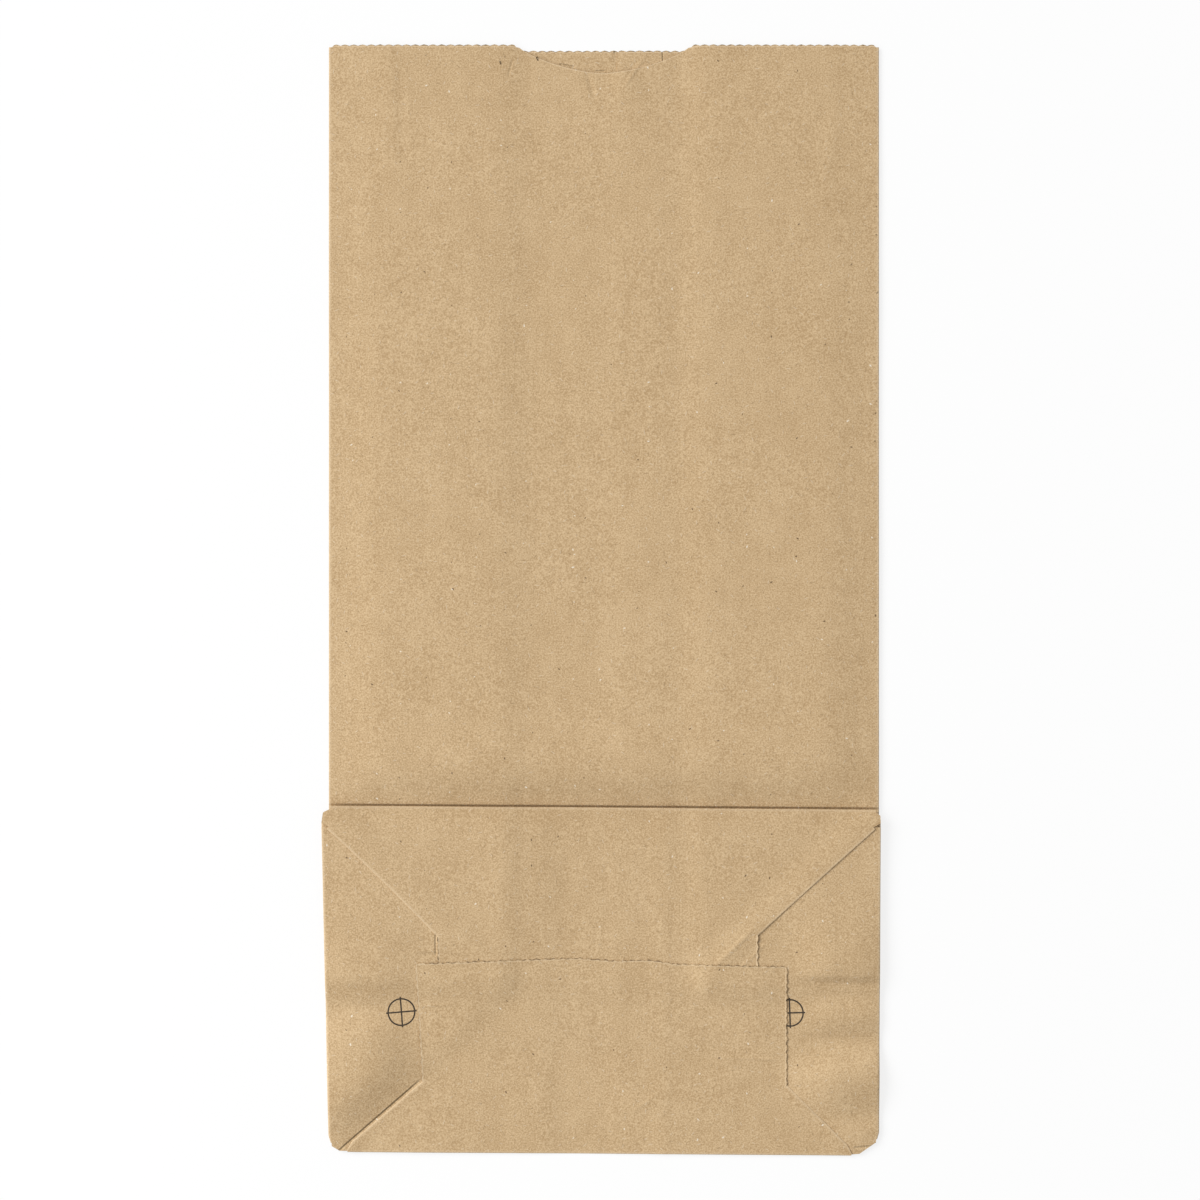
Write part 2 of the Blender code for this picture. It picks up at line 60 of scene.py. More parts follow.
# %% [markdown]
# ## Sizes of the sheet
#
# A folded bag is easiest to draw in plan, as seen from above, with the lower left corner as its corner.
# The lengths below are the driving dimensions of the CAD source, so both sheets agree, apart from four
# small things. Here the thumb notch and the saw teeth are a little deeper, the outer flap's left edge
# leans, and the flaps lie closer together. Each side of the bottom was folded a little differently, so
# the two sides have sizes of their own.

# %% Driving dimensions
MM = 0.001
BAG_WIDTH = 155.6 * MM
BAG_HEIGHT = 314.0 * MM
BOTTOM_DEPTH = 98.0 * MM
GUSSET = BOTTOM_DEPTH / 2
FLAP_LENGTH = 59.0 * MM
REAR_LIP_DROP = 1.6 * MM
NOTCH_WIDTH = 49.6 * MM
NOTCH_DEPTH = 8.2 * MM
SEAM_WIDTH = 13.0 * MM
SEAM_ASIDE = 10.2 * MM
SEAM_START = BAG_WIDTH / 2 + SEAM_ASIDE - SEAM_WIDTH / 2
SEAM_END = SEAM_START + SEAM_WIDTH

PAPER = 0.10 * MM
PLY_PITCH = PAPER + 0.15 * MM
FLAP_PITCH = PAPER + 0.07 * MM
SEAM_STEP = PAPER + 0.02 * MM
FOLD_REACH = 0.8 * MM
DIAGONAL_REACH = FOLD_REACH * math.sqrt(2)
CUT_MARGIN = 0.8 * MM
TOUCH = 1e-6
NEAR = 10 * TOUCH

# Upper and lower say how far from the bottom's corners the diagonal folds start, and inner and outer
# where they reach the flaps' slits, from the side and from below. Then come the bottom's overhang, the
# height of the bevelled corner and the lean of the outer flap's edge.
SIDES = {
    "left": {
        "upper": 5.0 * MM,
        "lower": 3.1 * MM,
        "inner": (30.6 * MM, 61.4 * MM),
        "outer": (26.2 * MM, 20.0 * MM),
        "overhang": 2.2 * MM,
        "corner": 2.1 * MM,
        "lean": 1.9 * MM,
    },
    "right": {
        "upper": 4.1 * MM,
        "lower": 5.8 * MM,
        "inner": (34.1 * MM, 62.4 * MM),
        "outer": (25.8 * MM, 19.6 * MM),
        "overhang": 0.4 * MM,
        "corner": 4.4 * MM,
        "lean": 0.0,
    },
}
REAR_EDGE = BAG_HEIGHT - REAR_LIP_DROP - CUT_MARGIN
FRONT_EDGE = BAG_HEIGHT - CUT_MARGIN
MEAN_UPPER = (SIDES["left"]["upper"] + SIDES["right"]["upper"]) / 2
MEAN_LOWER = (SIDES["left"]["lower"] + SIDES["right"]["lower"]) / 2
INNER_FLAP_END = BOTTOM_DEPTH - MEAN_UPPER - FLAP_LENGTH + CUT_MARGIN
OUTER_FLAP_END = FLAP_LENGTH - MEAN_LOWER - CUT_MARGIN
print("bottom, mm:", round(BOTTOM_DEPTH / MM), "deep with", round(GUSSET / MM), "mm pleats")

# %% [markdown]
# ## Small tools for drawing in plan
#
# Nearly everything that shapes folded paper depends on how far a point is from the edge of some ply.
# One function measures that for thousands of points at once with numpy, which keeps the script fast.

# %% Plan tools
def smooth(value):
    value = np.clip(value, 0, 1)
    return value * value * (3 - 2 * value)


def on_side(side, inset, height):
    """A plan point given by its distance from one side of the bag."""
    return (inset if side == "left" else BAG_WIDTH - inset, height)


def offset_line(start, end, distance):
    """A line moved sideways to its left, as a point and a direction."""
    along = (Vector(end) - Vector(start)).normalized()
    return Vector(start) + Vector((-along.y, along.x)) * distance, along


def at_inset(line, inset):
    point, along = line
    return point.y + (inset - point.x) * along.y / along.x


def at_height(line, height):
    point, along = line
    return point.x + (height - point.y) * along.x / along.y


def to_lines(where, starts, ends):
    """Distance from every plan point to every line."""
    along = ends - starts
    away = where[:, None, :] - starts
    length = np.maximum((along**2).sum(1), TOUCH**2)
    part = np.clip((away * along).sum(2) / length, 0, 1)
    return np.linalg.norm(away - part[..., None] * along, axis=2)


def outside(where, outline):
    """Distance from every plan point to an outline, nothing inside it."""
    starts = np.array(outline, float)
    ends = np.roll(starts, -1, axis=0)
    x, y = where[:, None, 0], where[:, None, 1]
    rise = ends[:, 1] - starts[:, 1]
    safe = np.where(rise == 0, 1, rise)
    crossing = starts[:, 0] + (y - starts[:, 1]) * (ends[:, 0] - starts[:, 0]) / safe
    passed = ((starts[:, 1] > y) != (ends[:, 1] > y)) & (x < crossing)
    inside = passed.sum(1) % 2 == 1
    return np.where(inside, 0.0, to_lines(where, starts, ends).min(1))


bag_centre = np.array([(BAG_WIDTH / 2, BAG_HEIGHT / 2)])
left_pleat = [(0, 0), (GUSSET, 0), (GUSSET, BAG_HEIGHT), (0, BAG_HEIGHT)]
print("from the bag's centre to its left pleat, mm:", outside(bag_centre, left_pleat) / MM)

# %% [markdown]
# ## The plies
#
# The folded sheet is a stack of flat stretches of the same paper. Each ply has an outline in plan and an
# order in the stack. At each side lie the two plies of the pleat, the tucked triangles of the bottom, the
# side flap, and the webs that join it to the two long flaps. The names are a bag maker's own.

# %% Draw the plies
class Ply:
    """One flat stretch of the sheet, with its place in the stack."""

    def __init__(self, outline, order, turned=False):
        self.outline = outline
        self.order = order
        self.turned = turned
        self.verts = {}


def flap_corner(side):
    """Where each long flap's diagonal fold and slit start and end on one side, inside its bend."""
    size = SIDES[side]
    top = BOTTOM_DEPTH - size["upper"] - FOLD_REACH
    upper = offset_line((0, BOTTOM_DEPTH - size["upper"]), size["inner"], FOLD_REACH)
    lower = offset_line((size["lower"], 0), size["outer"], -FOLD_REACH)
    inner_slit = size["inner"][0] + CUT_MARGIN
    outer_slit = size["outer"][0] + CUT_MARGIN
    return {
        "top": top,
        "shoulder": (FOLD_REACH, at_inset(upper, FOLD_REACH)),
        "inner_start": (at_height(upper, top), top),
        "inner_root": (inner_slit, at_inset(upper, inner_slit)),
        "inner_end": (inner_slit, INNER_FLAP_END),
        "outer_start": (at_height(lower, FOLD_REACH), FOLD_REACH),
        "outer_root": (outer_slit, at_inset(lower, outer_slit)),
        "outer_end": (outer_slit - size["lean"], OUTER_FLAP_END),
    }


NOTCH_FACES = 48
NOTCH_FULLNESS = (1.6, 0.75)
FOOT_ORDER = 4


def notch_outline():
    """The thumb notch in the front lip, from left to right."""
    points = []
    power, rounding = NOTCH_FULLNESS
    for i in range(NOTCH_FACES + 1):
        u = -math.cos(math.pi * i / NOTCH_FACES)
        depth = NOTCH_DEPTH * max(0.0, 1 - abs(u) ** power) ** rounding
        if depth > CUT_MARGIN:
            points.append((BAG_WIDTH / 2 + u * NOTCH_WIDTH / 2, BAG_HEIGHT - depth))
    first, last = points[0], points[-1]
    return [(first[0] - CUT_MARGIN, FRONT_EDGE)] + points + [(last[0] + CUT_MARGIN, FRONT_EDGE)]


def side_plies(side, corner):
    r, k, g, depth = FOLD_REACH, DIAGONAL_REACH, GUSSET, BOTTOM_DEPTH
    top, start, root = corner["top"], corner["inner_start"], corner["inner_root"]
    low_start, low_root = corner["outer_start"], corner["outer_root"]
    drawn = {
        "gusset_back": ([(r, r + k), (g - r, g - r + k), (g - r, REAR_EDGE), (r, REAR_EDGE)], 1),
        "gusset_front": ([(r, g + r), (g - r, g + r), (g - r, FRONT_EDGE), (r, FRONT_EDGE)], 2),
        "upper_tuck": ([(r, g + r), (g - r - k, g + r), (r, depth - r - k)], 5),
        "lower_tuck": ([(r, r + k), (g - k, g), (r, depth - r - k)], 6),
        "side_flap": ([(r, r), (FLAP_LENGTH, r), (FLAP_LENGTH, top), (r, top)], 7),
        "inner_web": ([start, root, (FLAP_LENGTH, root[1]), (FLAP_LENGTH, top)], 8),
        "outer_web": ([low_start, (FLAP_LENGTH, r), (FLAP_LENGTH, low_root[1]), low_root], 8),
    }
    made = {}
    for name, (points, order) in drawn.items():
        outline = [on_side(side, *point) for point in points]
        made[f"{name}_{side}"] = Ply(outline, order, turned=order > FOOT_ORDER)
    return made


def across(left_points, right_points):
    """An outline that runs along the left side's points and back along the right side's."""
    ends = [on_side("left", *point) for point in left_points]
    return ends + [on_side("right", *point) for point in reversed(right_points)]


def draw_plies(corners):
    r, k, g, depth = FOLD_REACH, DIAGONAL_REACH, GUSSET, BOTTOM_DEPTH
    left, right = corners["left"], corners["right"]
    back_left = [(r, r + k), left["outer_start"], (SEAM_END, r), (SEAM_END, REAR_EDGE), (r, REAR_EDGE)]
    back_right = [
        (SEAM_START, r),
        on_side("right", *right["outer_start"]),
        on_side("right", r, r + k),
        on_side("right", r, REAR_EDGE),
        (SEAM_START, REAR_EDGE),
    ]
    front = [(r, g + r), on_side("right", r, g + r), on_side("right", r, FRONT_EDGE)]
    front += list(reversed(notch_outline())) + [(r, FRONT_EDGE)]
    foot_side = [(2 * r, depth - r), (r, depth - r - k), (r, g + r)]
    inner = {}
    outer = {}
    for side, c in corners.items():
        shoulder = [(2 * r, depth - r), (r, depth - 2 * r), c["shoulder"]]
        inner[side] = shoulder + [c["inner_start"], c["inner_root"], c["inner_end"]]
        outer[side] = [c["outer_end"], c["outer_root"], c["outer_start"]]
    made = {
        "back_left": Ply(back_left, 0),
        "back_right": Ply(back_right, 0),
        "front": Ply(front, 3),
        "foot": Ply(across(foot_side, foot_side), FOOT_ORDER, turned=True),
        "inner_flap": Ply(across(inner["left"], inner["right"]), 9, turned=True),
        "outer_flap": Ply(across(outer["left"], outer["right"]), 10, turned=True),
    }
    for side in SIDES:
        made.update(side_plies(side, corners[side]))
    return made


corners = {side: flap_corner(side) for side in SIDES}
plies = draw_plies(corners)
MIDDLE_PLIES = ("back_left", "back_right", "front", "foot", "inner_flap", "outer_flap")
print(len(plies), "plies in", 1 + max(ply.order for ply in plies.values()), "layers")

# %% [markdown]
# ## One network of points for the whole stack
#
# If every ply had its own mesh, plies that touch would poke through each other between their points. So
# one triangle network is made of the whole plan, with every ply's outline drawn into it, and each ply
# takes its faces from that network. Two plies that keep their order at the points then keep it
# everywhere. Delaunay triangulation gives even, well shaped triangles.

# %% Triangulate the plan
BASE_STEP = 2.5 * MM
BODY_STEP = 4.2 * MM
MOUTH_BAND = 14.0 * MM
NOTCH_RIM = 0.35 * MM
DRAPE_WIDTH = 7.0 * MM
SEAM_DRAPE = 3.0 * MM
LINE_CLEARANCE = 0.45
ROW_SHIFTS = (0.25, 0.75)


def step_at(y):
    """Spacing of the points, which is finer over the folded bottom and at the mouth."""
    fine = y < BOTTOM_DEPTH + DRAPE_WIDTH or y > BAG_HEIGHT - MOUTH_BAND
    return BASE_STEP if fine else BODY_STEP


def as_network(lines):
    """Lines as one list of points and one of edges between them."""
    ends = []
    edges = []
    for line in lines:
        first = len(ends)
        ends.extend(Vector(p) for p in line)
        edges.extend((first + i, first + i + 1) for i in range(len(line) - 1))
    return ends, edges


def divided(start, end):
    count = max(1, round((end - start).length / step_at((start.y + end.y) / 2)))
    return [start.lerp(end, i / count) for i in range(count + 1)]


def plan_network():
    lines = [ply.outline + ply.outline[:1] for ply in plies.values()]
    for x in (SEAM_START - SEAM_DRAPE, SEAM_END + SEAM_DRAPE):
        lines.append([(x, FOLD_REACH), (x, REAR_EDGE)])
    lines.append([(x, y - NOTCH_RIM) for x, y in notch_outline()])
    ends, edges, _, _, drawn, _ = delaunay_2d_cdt(*as_network(lines), [], 0, TOUCH)
    lines = [divided(ends[a], ends[b]) for (a, b), source in zip(edges, drawn) if source]
    spots = []
    y = BASE_STEP / 2
    row = 0
    while y < FRONT_EDGE:
        step = step_at(y)
        count = round(BAG_WIDTH / step)
        shift = ROW_SHIFTS[row % 2]
        spots += [((i + shift) * BAG_WIDTH / count, y) for i in range(count)]
        y += step * math.sqrt(3) / 2
        row += 1
    spots = np.array(spots)
    starts = np.array([line[0] for line in lines])
    stops = np.array([line[-1] for line in lines])
    steps = np.array([step_at(y) for y in spots[:, 1]])
    clear = to_lines(spots, starts, stops).min(1) > LINE_CLEARANCE * steps
    free = [[Vector(spot)] for spot in spots[clear]]
    made = delaunay_2d_cdt(*as_network(lines + free), [], 0, TOUCH)
    network, faces = np.array(made[0]), np.array(made[2])
    first = network[faces[:, 1]] - network[faces[:, 0]]
    second = network[faces[:, 2]] - network[faces[:, 0]]
    area = np.abs(first[:, 0] * second[:, 1] - first[:, 1] * second[:, 0]) / 2
    return network, faces[area > TOUCH * BASE_STEP]


where, triangles = plan_network()
print(len(where), "points and", len(triangles), "triangles in plan")

# %% [markdown]
# ## How high each ply lies
#
# A ply lies one step above the plies under it, and drapes down softly past their edges. Real paper adds
# to that: the stiff folds hold the bottom a little open, and damp and handling leave shallow waves. All
# of these are heights. They either move every ply alike, or lift the plies from some layer up and never
# press one down, so the stack keeps its order.

# %% Waves, puffs and drape
BASE_SPRING = 1.0 * MM
SPRING_CURVE = 1.5
CROWN_HEIGHT = 1.4 * MM
CROWN_START = 12.0 * MM
CROWN_SIDE = 16.0 * MM
CROWN_FALL = 0.75
# Each wave has a length and a height.
WAVES = [(46 * MM, 0.30 * MM), (19 * MM, 0.10 * MM), (8 * MM, 0.025 * MM)]
WAVE_SLICE = 3.7
PUFFS = [
    # name, lowest layer, middle x and y, half length and width, turn in degrees, height; lengths in mm
    ("inner flap, by the right slit", 9, 115, 59, 8, 1.8, 43, 0.35),
    ("outer flap, low on the right", 10, 119, 27.5, 9, 1.6, -2, 0.25),
    ("outer flap, low in the middle", 10, 89, 14.7, 6, 2.2, 20, 0.2),
    ("inner flap, left of the middle", 9, 51, 78, 9, 24, 4, 0.35),
    ("front, above the bottom", 3, 78, 112, 60, 9, 0, 0.5),
    ("front, under the thumb notch", 3, 84, 304, 3, 8, 20, 0.5),
    ("front, by the left pleat", 3, 17, 296, 4, 20, 0, 0.25),
]
RIDGES = [
    # name, lowest layer, crest's start x and y, end x and y, width to its right and left, height; in mm
    ("left flap, above the pleat's end", 7, -3, 48, 23, 47.5, 7.5, 35, 1.1),
    ("left flap, below it", 7, -3, 33, 21, 33, 12, 7.5, 0.9),
    ("left flap, beside the lower fold", 7, -5.8, 8, 21.6, 31.7, 12, 25, 2.3),
    ("right flap, above the pleat's end", 7, 133, 52.8, 159, 52.3, 5.2, 30, 1.5),
    ("right flap, below it", 7, 134, 39.3, 159, 39.8, 8, 8, 1.4),
    ("right flap, lower", 7, 133, 22.5, 164, 22.5, 14, 11, 2.5),
    ("right flap, by the bottom corner", 7, 138, 6.5, 161, 6.5, 4, 5, 0.35),
]
RIDGE_FADE = 0.38


def waves(points):
    """Shallow waves that all plies share."""
    total = np.zeros(len(points))
    for number, (length, height) in enumerate(WAVES):
        total += [height * noise.noise((x / length, y / length, WAVE_SLICE * number)) for x, y in points]
    return total


def crown(points):
    """The body's slack front, which swells between the bottom's crease, the sides and the mouth."""
    x, y = points[:, 0], points[:, 1]
    beyond = y - BOTTOM_DEPTH
    fall = CROWN_FALL * beyond / (BAG_HEIGHT - BOTTOM_DEPTH)
    ends = smooth(beyond / CROWN_START) * np.clip(1 - fall, 0, 1)
    sides = smooth(x / CROWN_SIDE) * smooth((BAG_WIDTH - x) / CROWN_SIDE)
    return CROWN_HEIGHT * ends * sides


def puff(points, x, y, length, width, turn, height):
    """One soft rounded swelling."""
    angle = math.radians(turn)
    away = points / MM - np.array((x, y))
    along = away @ np.array((math.cos(angle), math.sin(angle)))
    sideways = away @ np.array((-math.sin(angle), math.cos(angle)))
    return height * MM * np.exp(-((along / length) ** 2) - (sideways / width) ** 2)


def ridge_end(part):
    """Nothing half a fade before a ridge's end, rising to one a whole fade after it."""
    return smooth((part / RIDGE_FADE + 0.5) / 1.5)


def ridge(points, x1, y1, x2, y2, right, left, height):
    """A long soft ridge, which may be steeper on one side, as where a ply lies over a step."""
    start, end = np.array((x1, y1)), np.array((x2, y2))
    length = np.linalg.norm(end - start)
    along = (end - start) / length
    away = points / MM - start
    far = away @ along / length
    aside = away @ np.array((-along[1], along[0]))
    slope = 1 - smooth(np.where(aside > 0, aside / left, -aside / right))
    return height * MM * ridge_end(far) * ridge_end(1 - far) * slope


FLAP_PLIES = ("side_flap", "inner", "outer")
seam = [(SEAM_START, 0), (SEAM_END, 0), (SEAM_END, BAG_HEIGHT), (SEAM_START, BAG_HEIGHT)]
gaps = {name: outside(where, ply.outline) for name, ply in plies.items()}
seam_rise = SEAM_STEP * (1 - np.clip(outside(where, seam) / SEAM_DRAPE, 0, 1))
wave_rise = waves(where)


def lift(name):
    """Height of a ply's middle at every point of the plan."""
    ply = plies[name]
    rise = PAPER / 2 + wave_rise
    if name != "back_left":
        rise = rise + seam_rise
    if ply.order > 0:
        rise = rise + PLY_PITCH
    for other, gap in gaps.items():
        if 0 < plies[other].order < ply.order:
            pitch = FLAP_PITCH if other.startswith(FLAP_PLIES) else PLY_PITCH
            rise = rise + pitch * (1 - smooth((gap - FOLD_REACH) / DRAPE_WIDTH))
    if ply.turned:
        part = np.clip((where[:, 1] - GUSSET) / (BOTTOM_DEPTH - GUSSET), 0, 1)
        rise = rise + BASE_SPRING * part**SPRING_CURVE
    if ply.order >= plies["front"].order:
        rise = rise + crown(where)
    for form, rows in ((puff, PUFFS), (ridge, RIDGES)):
        for _, layer, *shape in rows:
            if ply.order >= layer:
                rise = rise + form(where, *shape)
    return rise


heights = {name: lift(name) for name in plies}
print("highest ply, mm:", round(max(rise.max() for rise in heights.values()) / MM, 2))

# %% [markdown]
# ## The bag's small skews
#
# The machine folded this bag slightly askew. The top crease of the bottom falls towards one side, the
# folded-up bottom stands out past the body at the left, and the lower corners are bevelled. One function
# moves each plan point to where it really lies, so every ply follows the same skew. A second one adds
# the few ways in which the two long flaps differ: the inner one's shoulders and the outer one's wavy end.

# %% Place plan points
CREASE_FALL = 1.1 * MM
OVERHANG_SPAN = 30.0 * MM
OVERHANG_TURN = 2.5 * MM
BEVEL_SPAN = 3
CORNER_TAPER = 2.0 * MM
TAPER_LEFT = 0.3
SHOULDER_REACH = 3.0 * MM
EDGE_REACH = 12.0 * MM
EDGE_WAVE = [
    # x on the plan and how far the outer flap's end stands out there, in mm
    (24.7, -0.7),
    (52.6, 0.5),
    (70.7, 1.1),
    (80.6, 0.4),
    (90.8, 0.7),
    (97.9, -0.3),
    (128.5, -0.8),
]


def place(points, turned):
    """Where plan points lie on the skewed bag; turned ones belong to the folded-up bottom."""
    x, y = points[:, 0], points[:, 1]
    fade = np.clip((BAG_HEIGHT - y) / (BAG_HEIGHT - BOTTOM_DEPTH), 0, 1)
    moved_x = x - BAG_WIDTH / 2
    moved_y = y - BAG_HEIGHT / 2 - CREASE_FALL * (x / BAG_WIDTH - 0.5) * fade
    for side, size in SIDES.items():
        inset = x if side == "left" else BAG_WIDTH - x
        outward = -1 if side == "left" else 1
        near = np.clip(1 - inset / size["lower"], 0, 1)
        past = inset - corners[side]["outer_start"][0]
        dip = (1 - TAPER_LEFT) * FOLD_REACH * (1 - smooth(past / CORNER_TAPER))
        low = np.clip(1 - y / (BEVEL_SPAN * size["corner"]), 0, 1)
        moved_y = moved_y + (size["corner"] * near - dip) * low
        turn = np.clip((BOTTOM_DEPTH - y) / OVERHANG_TURN, 0, 1)
        reach = size["overhang"] * np.clip(y / BOTTOM_DEPTH, 0, 1) * turn
        if not turned:
            reach = reach * (1 - smooth((y - GUSSET) / (GUSSET / 2)))
        moved_x = moved_x + outward * reach * np.clip(1 - inset / OVERHANG_SPAN, 0, 1) ** 2
    return np.stack((moved_x, moved_y), axis=1)


def place_in(name, points):
    """Where a ply's points lie, with the small ways in which the two long flaps differ from the rest."""
    spots = place(points, plies[name].turned)
    x, y = points[:, 0], points[:, 1]
    if name == "inner_flap":
        for side, outward in (("left", -1), ("right", 1)):
            inset = x if side == "left" else BAG_WIDTH - x
            beyond = smooth((y - corners[side]["top"]) / FOLD_REACH)
            near = np.clip(1 - (inset - FOLD_REACH) / SHOULDER_REACH, 0, 1)
            spots[:, 0] += outward * FOLD_REACH * beyond * near
    if name == "outer_flap":
        wave = np.interp(x / MM, *zip(*EDGE_WAVE)) * MM
        spots[:, 1] += wave * smooth((y - OUTER_FLAP_END + EDGE_REACH) / EDGE_REACH)
    return spots


placed = {name: place_in(name, where) for name in plies}
print("left corner of the bottom, mm:", placed["side_flap_left"].min(0) / MM)

# %% [markdown]
# ## Laying the plies and bending the folds
#
# Now the sheet itself is collected as plain lists of points and faces. Each ply lays down its triangles,
# and each fold is a strip of narrow faces that turns half round from one ply to the next. A half circle
# looks like a tube, so the bend is made squarer, as pressed paper is. Every point also remembers three
# things for the finish: whether it lies on a fold, which is painted paler as rubbed paper and partly as
# a painted highlight, whether it is on a side flap (that is where the printer's marks are), and how
# strongly a cut edge shows there, as a pale fray with a painted highlight at the notch and as a painted
# shadow line at the other cuts.

# %% Lay and bend
BEND_FACES = 6
BEND_SQUARENESS = 0.6
CORNER_ZONE = 3.0 * MM
END_SLACK = 1e-4
NOTCH_EDGE = 0.42
sheet_spots = []
sheet_faces = []
fold_marks = []
flap_marks = []
edge_marks = []


def add_spot(spot, fold=0.0, flap=0.0, edge=0.0):
    sheet_spots.append(tuple(spot))
    fold_marks.append(fold)
    flap_marks.append(flap)
    edge_marks.append(edge)
    return len(sheet_spots) - 1


def on_notch(points):
    """Which plan points lie on the thumb notch's cut edge."""
    outline = np.array(notch_outline())
    return to_lines(points, outline[:-1], outline[1:]).min(1) < NEAR


def lay_plies():
    centres = where[triangles].mean(1)
    cut = on_notch(where)
    for name, ply in plies.items():
        chosen = triangles[outside(centres, ply.outline) < TOUCH]
        flap = float(name.startswith("side_flap"))
        for index in np.unique(chosen):
            x, y = placed[name][index]
            edge = NOTCH_EDGE if name == "front" and cut[index] else 0.0
            ply.verts[int(index)] = add_spot((x, y, heights[name][index]), flap=flap, edge=edge)
        sheet_faces.extend([ply.verts[int(i)] for i in face] for face in chosen)


def stations(ply, start, end):
    """The network points of a ply along a line, in order, each with its part of the way."""
    own = np.array(list(ply.verts))
    start, along = np.array(start), np.array(end) - np.array(start)
    away = where[own] - start
    part = away @ along / (along @ along)
    off = np.linalg.norm(away - part[:, None] * along, axis=1)
    on_line = (off < NEAR) & (part > -END_SLACK) & (part < 1 + END_SLACK)
    return sorted((p, int(i)) for p, i in zip(part[on_line], own[on_line]))


def bend(first, second, start, end, reach):
    """Join two plies by a half-round bend that bulges away from both, less so at a low corner."""
    along = (Vector(end) - Vector(start)).normalized()
    outward = np.array((-along.y, along.x))
    probe = (np.array(start) + np.array(end)) / 2 + outward * FOLD_REACH / 2
    if not outside(probe[None], first.outline)[0]:
        outward = -outward
    low = [spot for spot in (start, end) if spot[1] < CORNER_ZONE and spot[0] != SEAM_END]
    previous = None
    for _, index in stations(first, start, end):
        bulge = reach
        for low_end in low:
            away = np.linalg.norm(where[index] - np.array(low_end))
            bulge *= TAPER_LEFT + (1 - TAPER_LEFT) * smooth(away / CORNER_TAPER)
        lower, upper = first.verts[index], second.verts[index]
        below, above = np.array(sheet_spots[lower]), np.array(sheet_spots[upper])
        arc = [lower]
        for i in range(1, BEND_FACES):
            angle = math.pi * i / BEND_FACES
            level = math.copysign(abs(math.cos(angle)) ** BEND_SQUARENESS, math.cos(angle))
            spot = below + (above - below) * (1 - level) / 2
            spot[:2] += outward * bulge * math.sin(angle) ** BEND_SQUARENESS
            arc.append(add_spot(spot, fold=1.0))
        arc.append(upper)
        if previous:
            for i in range(BEND_FACES):
                sheet_faces.append((previous[i], previous[i + 1], arc[i + 1], arc[i]))
        previous = arc


def list_folds():
    """Every fold as the two plies it joins, its ends in plan and how far it bulges."""
    r, k, g, depth = FOLD_REACH, DIAGONAL_REACH, GUSSET, BOTTOM_DEPTH
    nested = FOLD_REACH - PLY_PITCH
    left_start = on_side("left", *corners["left"]["outer_start"])
    right_start = on_side("right", *corners["right"]["outer_start"])
    folds = [
        ("front", "foot", (r, g + r), on_side("right", r, g + r), nested),
        ("foot", "inner_flap", (2 * r, depth - r), on_side("right", 2 * r, depth - r), r),
        ("back_left", "outer_flap", left_start, (SEAM_END, r), r),
        ("back_right", "outer_flap", (SEAM_END, r), right_start, r),
    ]
    for side, corner in corners.items():
        top = corner["top"]
        drawn = [
            ("gusset_back", (r, r + k), (r, REAR_EDGE), r, f"back_{side}"),
            ("gusset_front", (r, g + r), (r, FRONT_EDGE), r, "front"),
            ("upper_tuck", (r, g + r), (r, depth - r - k), r, "foot"),
            ("lower_tuck", (r, r + k), (r, top), r, "side_flap"),
            ("gusset_back", (g - r, g + r), (g - r, REAR_EDGE), r, "gusset_front"),
            ("gusset_front", (r, g + r), (g - r - k, g + r), r, "upper_tuck"),
            ("gusset_back", (r, r + k), (g - k, g), r, "lower_tuck"),
            ("upper_tuck", (r, depth - r - k), (g - r - k, g + r), r, "lower_tuck"),
            ("side_flap", corner["inner_start"], (FLAP_LENGTH, top), r, "inner_web"),
            ("side_flap", corner["outer_start"], (FLAP_LENGTH, r), nested, "outer_web"),
            ("inner_web", corner["inner_start"], corner["inner_root"], r, "inner_flap"),
            ("outer_web", corner["outer_start"], corner["outer_root"], r, "outer_flap"),
        ]
        for first, start, end, reach, second in drawn:
            second = second if second in MIDDLE_PLIES else f"{second}_{side}"
            folds.append((f"{first}_{side}", second, on_side(side, *start), on_side(side, *end), reach))
    return folds


lay_plies()
for first, second, start, end, reach in list_folds():
    bend(plies[first], plies[second], start, end, reach)
print(len(sheet_faces), "faces after", len(list_folds()), "folds")

# %% [markdown]
# ## The knife's toothed edges
#
# The bag machine cuts the paper with a saw-toothed knife, which leaves a fine zigzag at the mouth, at
# the flaps' ends and along their slits. Each cut edge gets a narrow fringe whose outer line runs from
# tooth to tooth. The teeth are a little uneven, from a seeded random source, so every run agrees.

# %% Cut the edges
TOOTH_PITCH = 2.5 * MM
TOOTH_DEPTH = 0.42 * MM
TOOTH_PROFILE = (0.0, 0.62, 1.0, 0.62)
TOOTH_WEAR = 0.16
FLAP_CURL = 0.22 * MM
FAINT_EDGE = 0.68
knife = random.Random(8)


def toothed_path(path):
    """The saw-toothed line beside a path, with each point's distance along the path."""
    legs = [(Vector(a), Vector(b)) for a, b in zip(path, path[1:])]
    travelled = 0.0
    teeth = []
    turn = Vector((0, 0))
    for number, (start, end) in enumerate(legs):
        along = (end - start).normalized()
        outward = Vector((along.y, -along.x))
        root = outward * (CUT_MARGIN - TOOTH_DEPTH)
        count = max(1, round((end - start).length / TOOTH_PITCH)) * len(TOOTH_PROFILE)
        for i in range(0 if number else 1, count):
            share = TOOTH_PROFILE[i % len(TOOTH_PROFILE)]
            share *= 1 - TOOTH_WEAR * knife.random()
            extra = turn if number and i == 0 else Vector((0, 0))
            tip = start.lerp(end, i / count) + root + outward * TOOTH_DEPTH * share + extra
            teeth.append((travelled + (end - start).length * i / count, tip))
        travelled += (end - start).length
        turn = root
    return teeth


def is_faint(name, x):
    """The outer flap's left edge and the inner flap's right slit lie close, hardly show, and get only a
    faint painted shadow.
    """
    if name == "outer_flap":
        return x < corners["left"]["outer_root"][0]
    return name == "inner_flap" and x > BAG_WIDTH - corners["right"]["inner_root"][0]


